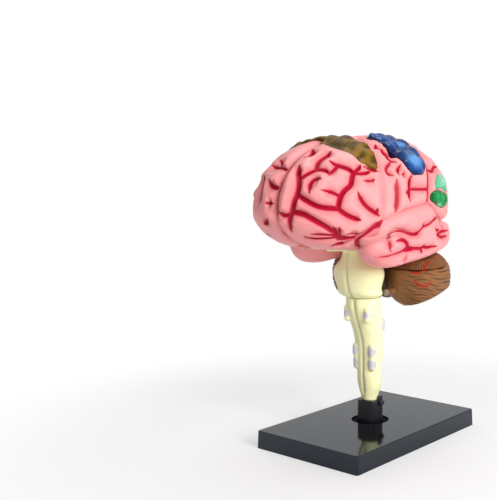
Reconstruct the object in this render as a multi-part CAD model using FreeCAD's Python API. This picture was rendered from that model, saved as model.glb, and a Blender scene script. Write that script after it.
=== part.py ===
import FreeCAD, Part
import math
import os

# Take-apart teaching model of a human brain on a stand, in millimetres.
# +Z is up, the forehead end points to -X and the left half of the brain lies at -Y.
# The origin is on the underside of the base plate, at its middle.

Vector = FreeCAD.Vector

# Base plate and the socket that holds the stem
PLATE_LENGTH = 90.0
PLATE_WIDTH = 57.0
PLATE_HEIGHT = 8.0
PLATE_DRAFT = 0.3
PLATE_CORNER_RADIUS = 1.2
PLATE_EDGE_RADIUS = 0.5
PLATE_WALL = 2.0
PLATE_RIB = 1.6
HUB_RADIUS = 9.6
WELL_RADIUS = 8.7
WELL_DEPTH = 2.0
POST_WIDTH = 10.2
POST_DEPTH = 8.6
POST_CORNER_RADIUS = 2.2
POST_TOP = 19.6
POST_PEG_RADIUS = 3.6
POST_PEG_LENGTH = 3.8
COLLAR_LOW = 15.0
COLLAR_HIGH = 17.4
COLLAR_FLARE = 0.9
SADDLE_DEPTH = 2.0
SADDLE_WIDTH = 8.6
CHEEK_FRONT = 0.2
SOCKET_DEPTH = 7.0

# Stem: the cord and the lower brain stem, as heights of its sections above the floor,
# with the middle in X, the half depth in X and the half width in Y
CORD_PLUG_RADIUS = 3.0
CORD_SECTIONS = [
    (17.9, -0.2, 3.9, 3.7),
    (19.7, -0.3, 4.1, 3.95),
    (22.0, -0.4, 4.4, 4.8),
    (30.0, -0.7, 4.9, 5.9),
    (38.0, -0.6, 5.1, 6.7),
    (46.0, -0.9, 5.4, 7.2),
    (52.5, -2.6, 5.8, 7.6),
    (58.5, -4.4, 6.5, 8.2),
    (66.0, -5.3, 6.7, 8.2),
]
# Knots where nerve roots leave the cord: height, turn from +X, radius and length
ROOT_KNOTS = [(58.8, 130, 1.7, 4.4), (41.3, 130, 1.6, 3.2), (35.4, 130, 1.6, 3.2), (53.0, 62, 1.5, 3.0)]
ROOT_SINK = 0.8
STEM_SECTIONS = [
    (66.3, -6.4, 6.6, 8.3),
    (69.5, -7.7, 8.0, 10.9),
    (74.5, -8.2, 8.9, 12.2),
    (79.5, -8.4, 8.9, 11.9),
    (84.0, -8.8, 7.8, 7.4),
    (88.5, -9.2, 7.2, 6.2),
    (93.0, -9.0, 7.4, 6.0),
    (97.5, -8.6, 9.2, 6.4),
]
JOINT_PEG_RADIUS = 2.6
JOINT_PEG_LENGTH = 5.0
MEDIAN_GROOVE_WIDTH = 2.0
MEDIAN_GROOVE_DEPTH = 1.3
THALAMUS_CENTRE = (-8.6, 0.0, 104.0)
THALAMUS_HALF = (12.0, 7.0, 7.2)
THALAMUS_CHAMFER = 1.5
OPTIC_LENGTH = 15.0
OPTIC_SPREAD = 3.6
OPTIC_RADIUS = 1.7

# Cerebrum and temporal lobe: centre, half sizes and roundness of the swollen forms
CEREBRUM_CENTRE = (-5.7, 0.0, 105.9)
CEREBRUM_FRONT = 55.8
CEREBRUM_BACK = 40.5
CEREBRUM_SIDE = 34.5
CEREBRUM_TOP = 31.6
CEREBRUM_BOTTOM = 17.2
CEREBRUM_ROUNDNESS = 2.33
CEREBRUM_PITCH = -2.3
TEMPORAL_CENTRE = (2.8, -19.5, 91.3)
TEMPORAL_FRONT = 32.2
TEMPORAL_BACK = 24.9
TEMPORAL_SIDE = 12.7
TEMPORAL_TOP = 13.5
TEMPORAL_BOTTOM = 8.0
TEMPORAL_ROUNDNESS = 2.3
TEMPORAL_PITCH = -7.7
MIDLINE_GAP = 0.4
MIDLINE_ROUNDING = 1.6
SEAM_GAP = 0.35
PASSAGE_HALF_WIDTH = 7.0
PASSAGE_REAR = 12.0
PASSAGE_TOP = 109.3
FORM_END = 0.996
CHANNEL_RISE = 1.2
FADE_LIFT = 0.25
FADE_WIDTH = 0.35
EXIT_CLOSENESS = 0.0001

# Inner pieces of each half, from the middle outwards
CORE_CENTRE = (-11.0, 107.0)
CORE_HALF = (32.0, 14.5)
CORE_DEPTH = 9.0
DEEP_CENTRE = (-8.0, 104.5)
DEEP_HALF = (20.0, 10.5)
DEEP_DEPTH = 20.5
FIT_GAP = 0.3
PEG_GAP = 0.1
LOBE_PEG_RADIUS = 1.8
LOBE_PEG_LENGTH = 4.0
AXLE_RADIUS = 2.2
LOBE_PEGS = {"frontal": (-38.4, 107.0), "parietal": (-14.0, 117.9),
             "temporal": (-30.4, 98.7), "occipital": (15.5, 107.0)}
HORN_THICKNESS = 5.0
HORN_CHAMFER = 1.2
HORN_WINDOW = (6.0, 3.4)
HORN_NOTCH = 4.2
INSULA_RADIUS = 9.0
INSULA_BASE = 2.4
INSULA_FURROWS = 6

# Cerebellum
CEREBELLUM_CENTRE = (14.6, 16.2, 74.6)
CEREBELLUM_FRONT = 12.6
CEREBELLUM_BACK = 13.6
CEREBELLUM_SIDE = 14.4
CEREBELLUM_TOP = 13.0
CEREBELLUM_BOTTOM = 14.2
CEREBELLUM_ROUNDNESS = 2.4
VERMIS_HALF = (9.5, 6.5, 11.0)
FISSURE_HEIGHT = 79.5
FISSURE_RISE = 2.4
UPPER_INSET = 0.5
LEAF_WIDTH = 0.6
LEAF_DEPTH = 0.7
LEAF_REACH = 60.0
LEAF_INNER_END = 4.0
LOWER_LEAVES = 6
LOWER_LEAF_STEP = 13.0
UPPER_LEAVES = 10
UPPER_LEAF_STEP = 15.0
FAN_POINT = (-1.0, 75.0)
PRONG_RADIUS = 1.5
PRONG_LENGTH = 4.2

# Coloured areas let into the lobes: bumps are (azimuth, elevation, radius, rise)
PATCH_THICKNESS = 1.6
PATCH_REACH = 9.0
PATCH_GAP = 0.1
PREMOTOR_REAR_EDGE = [(222, 25.3), (227, 24.5), (228, 31), (226.5, 38), (221, 45), (213, 49), (206, 54),
                      (197, 57)]
PREMOTOR_OUTLINE = [(181, 43.5), (188, 40), (196, 36.5), (203, 34), (210, 32), (214, 29.5),
                    (217.5, 26)] + PREMOTOR_REAR_EDGE + [(188, 54), (181.5, 49)]
PREMOTOR_OUTLINE_RIGHT = [(182, 49.5), (189, 49), (197, 46), (205, 41), (211, 36), (215, 30.5),
                          (218, 26.5)] + PREMOTOR_REAR_EDGE + [(189, 57), (182, 55.5)]
PREMOTOR_BUMPS = [(188, 46, 7, 0.9), (198, 41, 6, 1.1), (205, 47, 8, 1.0), (211, 38, 7, 1.2),
                  (220, 32, 6, 1.2), (197, 50, 6, 0.9), (218, 41, 6, 1.0)]
MOTOR_OUTLINE = [(229, 63), (235, 56.5), (239, 50), (241.5, 44), (246, 37.5), (251, 33.5), (254.5, 28),
                 (258, 24.6), (266, 24), (273, 25.8), (278, 30), (280, 35), (285, 40), (288, 46), (287, 55),
                 (279, 63), (262, 69), (243, 70), (230, 68)]
MOTOR_BUMPS = [(235, 64, 5, 1.5), (244, 57, 5.5, 1.5), (252, 65, 5.5, 1.6), (261, 58, 5.5, 1.5),
               (271, 63, 5, 1.4), (277, 53, 5.5, 1.5),
               (245, 45.5, 4.5, 1.5), (254, 50, 5, 1.5), (265, 48, 5.5, 1.6), (277, 43, 5, 1.4),
               (255, 39, 5, 1.6), (266, 38, 5.5, 1.6), (274.5, 33, 4.5, 1.4), (258, 30.5, 4.5, 1.4),
               (267, 28.5, 4.5, 1.4)]
VISUAL_OUTLINE = [(284.5, 15), (286.5, 19), (291, 21.8), (296, 23.3), (301, 24), (307, 21), (312, 15.5),
                  (307, 11.5), (298, 12), (291, 14)]
VISUAL_BUMPS = [(292, 17, 5, 0.9), (302, 17.5, 5, 1.0)]
SPEECH_OUTLINE = [(277.8, 7), (280, 11.5), (285, 13), (291, 12.2), (297, 10.9), (303, 9.3), (307, 7),
                  (304, 4), (298.5, 1.3), (291, 0.8), (285, 2.6), (281, 4.6)]
SPEECH_BUMPS = [(283.5, 8.5, 4.5, 1.0), (291, 7, 4.5, 1.1), (299, 6.5, 4.5, 1.0), (292, 3, 4, 0.6)]

# Seams between lobes, as directions (azimuth, elevation) seen from the cerebrum's centre
LATERAL_SEAM = [(214, -30), (215, -16.5), (223, -10.5), (230, -5.3), (250, 0.5), (274.5, 4.5),
                (281, 2), (285.2, -0.5), (289, -4), (297, -6.6), (309, -9.2), (325, -11.5), (352, -14)]
CENTRAL_SEAM = [(230, -5.3), (230, 8), (230.3, 24), (230, 35), (224, 50), (206, 64)]
REAR_SEAM = [(274.5, 4.5), (277, 14.5), (281.5, 23), (287.3, 31), (300, 52)]

# Furrows: (width, depth, starts open, ends open, path of directions); a closed end stops in another
FRONTAL_FURROWS = [
    (2.3, 2.2, True, True, [(187.3, 21), (186.5, 18), (188.3, 14.8), (189.8, 11), (189.9, 7.3),
                            (188.6, 3.5), (188.1, 0), (186.6, -2.6), (185.7, -9.5)]),
    (1.6, 1.5, False, True, [(187.6, -1.2), (184.5, -2.1), (182.4, -1.5), (181.2, 0.5)]),
    (2.3, 2.1, False, True, [(188.3, -0.3), (193, -1), (197.5, -3.8), (201.5, -6.5), (204.5, -9.7),
                             (206.8, -12.8)]),
    (1.2, 1.2, True, False, [(205, -6.3), (205.6, -8.5), (205.9, -10.9)]),
    (1.5, 1.4, True, False, [(208.2, -6.8), (206.9, -9.8), (206.6, -12.4)]),
    (1.6, 1.5, False, True, [(206.6, -12.4), (209.5, -13.9), (212.5, -14.6)]),
    (1.8, 1.7, False, True, [(189.4, 14.2), (193.3, 17.4), (195.5, 19.1), (199, 19.4),
                             (201.3, 18.6), (202.8, 16)]),
    (1.9, 1.9, True, False, [(199.5, 32.2), (195.8, 27), (194.4, 23.5), (195.3, 19.2)]),
    (2.3, 2.1, True, False, [(200.8, 24.5), (204, 22.8), (208, 22.3), (212, 21.2), (213.6, 19.4)]),
    (1.5, 1.5, False, False, [(205.2, 22.6), (204.2, 20.2), (202.3, 17.5)]),
    (1.6, 1.5, False, True, [(213.4, 19.7), (216, 22.3), (218, 25)]),
    (1.6, 1.5, False, True, [(213.2, 19.2), (218.5, 19.9), (221.5, 21), (224.3, 22.1)]),
    (2.1, 2.0, False, False, [(213.6, 19.6), (212.7, 15.5), (213, 12.7), (210, 10), (208.2, 7.2),
                              (207.6, 4), (207.1, 1)]),
    (1.3, 1.3, True, False, [(200.3, 9.1), (203.5, 8.8), (208.1, 6.8)]),
    (2.0, 2.0, False, False, [(189.6, 6.9), (193.5, 4.8), (197, 2.8), (200.5, 1.6), (207.3, 1.1)]),
    (1.9, 1.8, False, True, [(206.8, 1.4), (210.5, -1.6), (214, -3.5), (218.3, -4.6)]),
    (1.6, 1.6, True, True, [(196.3, 7.2), (194.5, 10.2), (195, 12.8), (197.2, 14.7), (200.3, 14)]),
    (1.7, 1.6, True, True, [(216.2, 9.8), (217.3, 6), (220.5, 2), (224.5, -0.5), (228.6, -3.3)]),
    (1.3, 1.2, True, False, [(226.8, 2), (226.9, 0), (226.3, -1.7)]),
    (1.1, 1.0, True, True, [(218.3, 15.2), (222.5, 16.3), (226.5, 17)]),
    (2.2, 1.7, True, True, [(185.8, 33.5), (187.5, 29.5), (186.2, 25.3)]),
    (1.4, 1.3, True, False, [(194.3, -10), (199.5, -10.8), (203, -11.4), (206.5, -12.7)]),
    (1.7, 1.5, True, False, [(190.6, -11), (192, -13), (198, -13.4), (207, -13)]),
    (1.2, 1.2, True, True, [(210.4, -11.2), (214, -12), (217.5, -12)]),
]
FRONTAL_FURROWS_RIGHT = [
    (1.2, 1.1, True, True, [(194.7, 16.3), (194, 13.1), (191.4, 8.2), (190.4, 4.7), (190.1, 1.2)]),
    (1.9, 1.7, True, False, [(187, 13.8), (187.6, 12.2), (185.9, 10.6), (183.4, 9.8), (181, 9.6)]),
    (1.6, 1.4, True, True, [(185.3, 3.1), (183.2, 3.1), (181.2, 3)]),
    (2.2, 1.7, True, True, [(189.5, -6.2), (187.5, -5.3), (184.3, -3.5)]),
    (1.4, 1.3, True, False, [(194.5, 21.5), (190.5, 19.8), (186.1, 19.9), (183.5, 19.4),
                             (181, 18.5)]),
    (1.1, 1, False, True, [(186.3, 19.9), (188.2, 22.3), (191.7, 25.1)]),
    (2.3, 2.1, True, True, [(200, 31), (201.5, 22), (200.5, 14), (199.5, 8), (202, 1),
                            (206, -6.5)]),
    (2.0, 2.0, False, True, [(200.5, 14), (206, 11.5), (212, 13), (219, 10.5), (225, 12.5)]),
    (1.9, 1.8, False, True, [(201.2, 3), (208, 2), (214, -1.5), (221, -4)]),
    (1.6, 1.6, True, True, [(205.5, 25), (208.5, 22), (214, 21.5), (218, 24)]),
    (1.6, 1.5, True, False, [(222.5, 22.5), (220.5, 17), (219.3, 10.5)]),
    (1.5, 1.5, True, True, [(206.5, 5.8), (210, 8), (214, 6.5), (213.3, 3.3)]),
    (1.5, 1.4, True, True, [(225.8, 7.5), (222, 3.5), (224, -1)]),
    (1.5, 1.4, False, True, [(204.8, -4.5), (211, -7.5), (217, -8.8)]),
    (1.6, 1.5, True, True, [(193, -11.5), (199, -13.5), (206, -12.5)]),
    (1.4, 1.4, True, False, [(207.8, 18.5), (211.5, 17), (212.5, 13.2)]),
]
PARIETAL_FURROWS = [
    (3.2, 1.6, True, True, [(241.3, 19.3), (241.5, 12), (240.8, 5), (239, -2)]),
    (1.8, 1.6, True, True, [(257.8, 24.3), (255.2, 19), (254, 13.5), (253, 8.5), (251.7, 4.7)]),
    (1.2, 1.1, False, True, [(254, 13.4), (250.5, 11.3), (247.5, 9.9)]),
    (1.2, 1.2, False, False, [(254.2, 14.3), (262, 14.6), (270, 14.6), (276.6, 14.6)]),
    (2.0, 1.5, True, True, [(231.2, 49), (232.3, 45), (233.5, 41.5)]),
    (2.0, 1.6, True, True, [(235.5, 45.5), (237.8, 40.5), (240.3, 34.5)]),
    (1.5, 1.3, True, True, [(241.3, 33), (237, 29), (234, 25), (236, 22.2), (240.5, 21.2)]),
    (1.5, 1.4, True, True, [(243.8, 21.5), (245, 25), (247.3, 29.5), (249.6, 31)]),
    (1.3, 1.2, True, True, [(251.4, 27), (250.6, 23.5), (247.3, 20.8)]),
    (1.5, 1.4, True, True, [(288, 50), (290.5, 57), (284, 66)]),
    (1.4, 1.3, True, True, [(229, 56), (237, 68), (256, 73.5)]),
]
OCCIPITAL_FURROWS = [
    (1.6, 1.5, False, True, [(287.2, 28.7), (292, 26.9), (298, 27.6), (306, 29.3), (313, 29.5),
                             (321, 28)]),
    (1.7, 1.6, True, True, [(309, -1), (316, 4), (325, 3), (336, 8)]),
    (1.7, 1.6, True, True, [(322, 18), (332, 20), (342, 17), (351, 20)]),
    (1.6, 1.5, True, True, [(300, 44), (315, 40), (332, 42), (348, 38)]),
    (1.5, 1.4, True, False, [(316, 12.5), (320.5, 8), (321, 3.6)]),
    (1.5, 1.4, True, False, [(333, 33), (334.5, 27), (333, 19.8)]),
    (1.4, 1.3, True, False, [(314, 51), (320, 46), (322, 40.8)]),
    (1.4, 1.3, True, True, [(338, 49), (345, 55), (336, 62)]),
    (1.4, 1.3, True, True, [(342, 5), (349, 8.5), (354, 13)]),
    (1.3, 1.2, True, True, [(303, 36.5), (310, 34.5), (318, 36)]),
    (1.4, 1.3, False, True, [(341.5, 17.2), (344, 26), (340, 32)]),
]
TEMPORAL_FURROWS = [
    (1.8, 1.7, True, True, [(198.5, -6.3), (196.2, -2), (196, 3.5), (198, 8.5), (203, 13),
                            (208, 14.6), (214, 14.6), (221, 15.6), (228, 18), (235, 21)]),
    (1.8, 1.6, True, False, [(202.3, 3.7), (204.5, 5.8), (208.3, 6.3), (211, 3.8), (213, -1),
                             (213.5, -5.6)]),
    (2.0, 1.9, True, True, [(185, -8.6), (193.5, -9.6), (204, -7.8), (213, -5.2), (222, -6.5),
                            (230, -7.6), (237, -9.6), (243.5, -7.3), (248.5, -6), (256, -9.3),
                            (264, -11.3), (271, -12), (280, -9.5), (289.5, -7.2)]),
    (1.3, 1.2, False, True, [(236.8, -9.6), (239.2, -14.3), (241.3, -18.5)]),
    (1.2, 1.1, False, True, [(211.6, -5.8), (211, -12), (208.5, -19), (204.5, -26)]),
    (1.8, 1.5, True, True, [(283, 27), (290, 25.5), (297, 23.5), (306, 21)]),
    (1.4, 1.3, True, True, [(287.5, 4), (290.5, 9.3), (295, 12.5), (302, 14.4), (311, 17.2),
                            (320, 16.5), (329, 13.5)]),
    (1.4, 1.3, False, True, [(301.5, 14.2), (308, 9), (316, 7), (325, 7.7)]),
    (1.6, 1.5, True, False, [(235.8, 27.8), (241, 29), (250, 31), (260, 33.8), (267, 37),
                             (273, 39.6), (283, 39.9)]),
]


class Form:
    """Swollen body with a different half size each way from its centre."""

    def __init__(self, centre, front, back, side, top, bottom, roundness, pitch=0.0, cover=None):
        self.centre = Vector(*centre)
        self.cover = cover
        self.front, self.back, self.side = front, back, side
        self.top, self.bottom, self.roundness = top, bottom, roundness
        self.turn = math.radians(pitch)

    def radius(self, direction):
        along = direction.x * math.cos(self.turn) - direction.z * math.sin(self.turn)
        up = direction.x * math.sin(self.turn) + direction.z * math.cos(self.turn)
        reach = (
            abs(along / (self.front if along < 0 else self.back)) ** self.roundness
            + abs(direction.y / self.side) ** self.roundness
            + abs(up / (self.top if up > 0 else self.bottom)) ** self.roundness
        )
        return reach ** (-1.0 / self.roundness)

    def exit(self, start, direction):
        """How far a ray from a point inside runs before it leaves the form."""
        near, far = 0.0, 2 * self.front
        while far - near > EXIT_CLOSENESS:
            middle = (near + far) / 2
            offset = start + direction * middle - self.centre
            if offset.Length < self.radius(offset * (1 / offset.Length)):
                near = middle
            else:
                far = middle
        return near

    def point(self, azimuth, elevation, lift=0.0):
        """Place on the skin, or on the form that covers it where that one swells further out."""
        turn, climb = math.radians(azimuth), math.radians(elevation)
        ray = Vector(math.cos(climb) * math.cos(turn), math.cos(climb) * math.sin(turn), math.sin(climb))
        reach = self.radius(ray)
        if self.cover:
            reach = max(reach, self.cover.exit(self.centre, ray))
        return self.centre + ray * (reach + lift)

    def normal(self, azimuth, elevation):
        step = 0.5
        east = self.point(azimuth + step, elevation) - self.point(azimuth - step, elevation)
        north = self.point(azimuth, elevation + step) - self.point(azimuth, elevation - step)
        return east.cross(north).normalize()

    def section(self, y, inset=0.0, columns=20):
        """Closed wire where the plane at y cuts the form."""
        share = abs((y - self.centre.y) / self.side) ** self.roundness
        scale = (1.0 - share) ** (1.0 / self.roundness)
        points = []
        for step in range(columns):
            angle = math.tau * step / columns - math.pi / 2
            ray = Vector(math.cos(angle), 0, math.sin(angle))
            flat = ray * (self.radius(ray) * scale - inset)
            points.append(Vector(self.centre.x + flat.x, y, self.centre.z + flat.z))
        return closed_wire(points)

    def solid(self, y_start, y_end, stations=8, inset=0.0):
        """Body between two planes normal to Y, through sections that crowd at the rounded end."""
        start = math.asin((y_start - self.centre.y) / self.side)
        end = math.asin((y_end - self.centre.y) / self.side)
        wires = []
        for step in range(stations + 1):
            y = self.centre.y + self.side * math.sin(start + (end - start) * step / stations)
            wires.append(self.section(y, inset))
        return Part.makeLoft(wires, True, False)


def closed_wire(points):
    curve = Part.BSplineCurve()
    curve.interpolate(Points=points, PeriodicFlag=True)
    return Part.Wire([curve.toShape()])


def ellipse_wire(centre_x, half_x, half_y, z):
    """Level ellipse about the X axis line at height z."""
    points = []
    for step in range(12):
        angle = math.tau * step / 12
        points.append(Vector(centre_x + half_x * math.cos(angle), half_y * math.sin(angle), z))
    return closed_wire(points)


def upright_oval(centre, half, y_start, y_end, grow=0.0):
    """Oval prism that runs along Y, from its middle and half sizes in X and Z, the first the larger."""
    middle = Vector(centre[0], y_start, centre[1])
    oval = Part.Ellipse(middle + Vector(half[0] + grow, 0, 0), middle + Vector(0, 0, half[1] + grow), middle)
    return Part.Face(Part.Wire([oval.toShape()])).extrude(Vector(0, y_end - y_start, 0))


def rod_along_y(x, z, radius, y_start, y_end):
    return Part.makeCylinder(radius, abs(y_end - y_start), Vector(x, min(y_start, y_end), z), Vector(0, 1, 0))


def rod_along_x(y, z, radius, x_start, x_end):
    return Part.makeCylinder(radius, abs(x_end - x_start), Vector(min(x_start, x_end), y, z), Vector(1, 0, 0))


def mirrored(shape):
    return shape.mirror(Vector(0, 0, 0), Vector(0, 1, 0))


def one_solid(shape):
    """The largest solid of a cut result."""
    return max(shape.Solids, key=lambda solid: solid.Volume)


cerebrum = Form(CEREBRUM_CENTRE, CEREBRUM_FRONT, CEREBRUM_BACK, CEREBRUM_SIDE,
                CEREBRUM_TOP, CEREBRUM_BOTTOM, CEREBRUM_ROUNDNESS, CEREBRUM_PITCH)
temporal = Form(TEMPORAL_CENTRE, TEMPORAL_FRONT, TEMPORAL_BACK, TEMPORAL_SIDE,
                TEMPORAL_TOP, TEMPORAL_BOTTOM, TEMPORAL_ROUNDNESS, TEMPORAL_PITCH, cerebrum)


def base_plate():
    """Hollow moulded plate with ribs, a hub that reaches the floor, and a well round the post."""
    def tapered(inset, low, high):
        wires = []
        for z in (low, high):
            spread = PLATE_DRAFT * (1 - z / PLATE_HEIGHT) - inset
            half_x, half_y = PLATE_LENGTH / 2 + spread, PLATE_WIDTH / 2 + spread
            corners = [Vector(-half_x, -half_y, z), Vector(half_x, -half_y, z),
                       Vector(half_x, half_y, z), Vector(-half_x, half_y, z)]
            wires.append(Part.makePolygon(corners + corners[:1]))
        return Part.makeLoft(wires, True, True)

    body = tapered(0, 0, PLATE_HEIGHT)
    upright = [edge for edge in body.Edges if edge.BoundBox.ZLength > PLATE_HEIGHT / 2]
    body = body.makeFillet(PLATE_CORNER_RADIUS, upright)
    rim = [edge for edge in body.Edges if edge.BoundBox.ZMin > PLATE_HEIGHT - 0.01]
    body = body.makeFillet(PLATE_EDGE_RADIUS, rim)
    hollow = tapered(PLATE_WALL, 0, PLATE_HEIGHT - PLATE_WALL)
    long_rib = Part.makeBox(PLATE_LENGTH, PLATE_RIB, PLATE_HEIGHT,
                            Vector(-PLATE_LENGTH / 2, -PLATE_RIB / 2, 0))
    cross_rib = Part.makeBox(PLATE_RIB, PLATE_WIDTH, PLATE_HEIGHT,
                             Vector(-PLATE_RIB / 2, -PLATE_WIDTH / 2, 0))
    hub = Part.makeCylinder(HUB_RADIUS, PLATE_HEIGHT)
    hollow = hollow.cut(long_rib).cut(cross_rib).cut(hub)
    body = body.cut(hollow)
    well = Part.makeCylinder(WELL_RADIUS, WELL_DEPTH, Vector(0, 0, PLATE_HEIGHT - WELL_DEPTH))
    hole = Part.makeCylinder(POST_PEG_RADIUS + PEG_GAP, POST_PEG_LENGTH,
                             Vector(0, 0, PLATE_HEIGHT - WELL_DEPTH - POST_PEG_LENGTH))
    return one_solid(body.cut(well).cut(hole))


def rounded_block(half_x, half_y, low, high, radius):
    block = Part.makeBox(2 * half_x, 2 * half_y, high - low, Vector(-half_x, -half_y, low))
    return block.makeFillet(radius, [edge for edge in block.Edges if edge.BoundBox.ZLength > (high - low) / 2])


def stand_post():
    """Post pressed into the hub: a flared collar, two cheeks beside the stem and a round socket."""
    floor = PLATE_HEIGHT - WELL_DEPTH
    post = rounded_block(POST_DEPTH / 2, POST_WIDTH / 2, floor, POST_TOP, POST_CORNER_RADIUS)
    collar = rounded_block(POST_DEPTH / 2 + COLLAR_FLARE, POST_WIDTH / 2 + COLLAR_FLARE,
                           COLLAR_LOW, COLLAR_HIGH, POST_CORNER_RADIUS + COLLAR_FLARE)
    sharp = [edge for edge in collar.Edges if edge.BoundBox.ZLength < 0.01]
    collar = collar.makeChamfer(COLLAR_FLARE * 0.8, sharp)
    peg = Part.makeCylinder(POST_PEG_RADIUS, POST_PEG_LENGTH - FIT_GAP,
                            Vector(0, 0, floor - POST_PEG_LENGTH + FIT_GAP))
    saddle_floor = POST_TOP - SADDLE_DEPTH
    saddle = Part.makeBox(4 * POST_DEPTH, SADDLE_WIDTH, POST_TOP,
                          Vector(-2 * POST_DEPTH, -SADDLE_WIDTH / 2, saddle_floor))
    open_front = Part.makeBox(4 * POST_DEPTH, 4 * POST_WIDTH, POST_TOP, Vector(
        CHEEK_FRONT - 4 * POST_DEPTH, -2 * POST_WIDTH, saddle_floor))
    before_collar = Part.makeBox(4 * POST_DEPTH, 4 * POST_WIDTH, POST_TOP, Vector(
        CHEEK_FRONT - 4 * POST_DEPTH, -2 * POST_WIDTH, 0))
    collar = collar.cut(before_collar)
    socket = Part.makeCylinder(CORD_PLUG_RADIUS + PEG_GAP, SOCKET_DEPTH + SADDLE_DEPTH,
                               Vector(0, 0, POST_TOP - SADDLE_DEPTH - SOCKET_DEPTH))
    return one_solid(post.fuse([collar, peg]).cut([saddle, open_front]).cut(socket))


def stacked_ovals(sections):
    wires = [ellipse_wire(middle, half_x, half_y, z) for z, middle, half_x, half_y in sections]
    return Part.makeLoft(wires, True, False)


def channel(spine, normals, width, depth, fade=(True, True)):
    """Tapered V-shaped tool along a spine on a surface; its tip runs below the surface.

    A faded end rises out of the surface, the other kind stops at full depth inside another channel.
    """
    last = len(spine) - 1
    wires = []
    for index, (place, out) in enumerate(zip(spine, normals)):
        ahead = spine[min(index + 1, last)] - spine[max(index - 1, 0)]
        side = ahead.cross(out).normalize()
        shallow = (index == 0 and fade[0]) or (index == last and fade[1])
        here = -FADE_LIFT if shallow else depth
        half = width / 2 * (FADE_WIDTH if shallow else 1.0) * (depth + CHANNEL_RISE) / depth
        brow = place + out * CHANNEL_RISE
        corners = [place - out * here, brow + side * half, brow - side * half]
        wires.append(Part.makePolygon(corners + corners[:1]))
    return Part.makeLoft(wires, True, True)


def on_form(form, path, side=-1):
    """Spine points and outward normals of a path of directions, swapped over for the right half."""
    turned = path if side < 0 else [(360 - azimuth, elevation) for azimuth, elevation in path]
    spine = [form.point(azimuth, elevation) for azimuth, elevation in turned]
    return spine, [form.normal(azimuth, elevation) for azimuth, elevation in turned]


def root_knot(height, turn, radius, length):
    """Upright rounded knot half sunk in the side of the cord."""
    above = next(index for index, section in enumerate(CORD_SECTIONS) if section[0] > height)
    low, high = CORD_SECTIONS[above - 1], CORD_SECTIONS[above]
    share = (height - low[0]) / (high[0] - low[0])
    middle, half_x, half_y = [a + (b - a) * share for a, b in zip(low[1:], high[1:])]
    ray = Vector(math.cos(math.radians(turn)), math.sin(math.radians(turn)), 0)
    skin = 1 / math.hypot(ray.x / half_x, ray.y / half_y)
    foot = Vector(middle, 0, height - length / 2) + ray * (skin + radius - ROOT_SINK * 2)
    ends = [Part.makeSphere(radius, foot + Vector(0, 0, rise)) for rise in (0, length)]
    return Part.makeCylinder(radius, length, foot).fuse(ends)


def spinal_cord():
    """Medulla and cord in one, with a front groove, nerve root knots and a plug for the socket."""
    body = stacked_ovals(CORD_SECTIONS)
    for height, turn, radius, length in ROOT_KNOTS:
        body = body.fuse([root_knot(height, turn, radius, length), root_knot(height, -turn, radius, length)])
    foot, head = CORD_SECTIONS[0], CORD_SECTIONS[-1]
    low_end = POST_TOP - SADDLE_DEPTH - SOCKET_DEPTH + FIT_GAP
    neck = Part.makeCylinder(CORD_PLUG_RADIUS, foot[0] + 1.0 - low_end, Vector(0, 0, low_end))
    body = body.fuse(neck)
    spine = [Vector(middle - half_x, 0, z) for z, middle, half_x, _ in CORD_SECTIONS[1:]]
    front = [Vector(-1, 0, 0)] * len(spine)
    body = body.cut(channel(spine, front, MEDIAN_GROOVE_WIDTH, MEDIAN_GROOVE_DEPTH, (True, False)))
    hole = Part.makeCylinder(JOINT_PEG_RADIUS + PEG_GAP, JOINT_PEG_LENGTH + FIT_GAP,
                             Vector(head[1], 0, head[0] - JOINT_PEG_LENGTH - FIT_GAP))
    return one_solid(body.cut(hole))


def brain_stem():
    """Pons, midbrain and thalamus in one, with the optic nerves and a peg into the cord."""
    body = stacked_ovals(STEM_SECTIONS)
    spine = [Vector(middle - half_x, 0, z) for z, middle, half_x, _ in STEM_SECTIONS[:5]]
    front = [Vector(-1, 0, 0)] * len(spine)
    body = body.cut(channel(spine, front, MEDIAN_GROOVE_WIDTH, MEDIAN_GROOVE_DEPTH, (False, True)))
    thalamus = upright_oval((THALAMUS_CENTRE[0], THALAMUS_CENTRE[2]), (THALAMUS_HALF[0], THALAMUS_HALF[2]),
                            THALAMUS_HALF[1], -THALAMUS_HALF[1])
    rims = [edge for edge in thalamus.Edges if edge.BoundBox.YLength < 0.01]
    body = body.fuse(thalamus.makeChamfer(THALAMUS_CHAMFER, rims))
    seat = CORD_SECTIONS[-1]
    peg = Part.makeCylinder(JOINT_PEG_RADIUS, JOINT_PEG_LENGTH + 1.0,
                            Vector(seat[1], 0, seat[0] - JOINT_PEG_LENGTH + FIT_GAP))
    chiasm_z = STEM_SECTIONS[5][0]
    nerves = []
    for spread in (-1, 1):
        run = Vector(-OPTIC_LENGTH, spread * OPTIC_SPREAD, 0.6)
        nerves.append(Part.makeCylinder(OPTIC_RADIUS, run.Length,
                                        Vector(STEM_SECTIONS[5][1], spread * 1.2, chiasm_z), run))
    body = body.fuse([peg] + nerves)
    axle_hole = rod_along_y(THALAMUS_CENTRE[0], THALAMUS_CENTRE[2], AXLE_RADIUS + PEG_GAP, -20, 20)
    back = STEM_SECTIONS[2][1]
    rear_hole = rod_along_x(0, STEM_SECTIONS[2][0], JOINT_PEG_RADIUS + PEG_GAP,
                            back + STEM_SECTIONS[2][2] - JOINT_PEG_LENGTH, back + 20)
    return one_solid(body.cut(axle_hole).cut(rear_hole))


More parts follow.
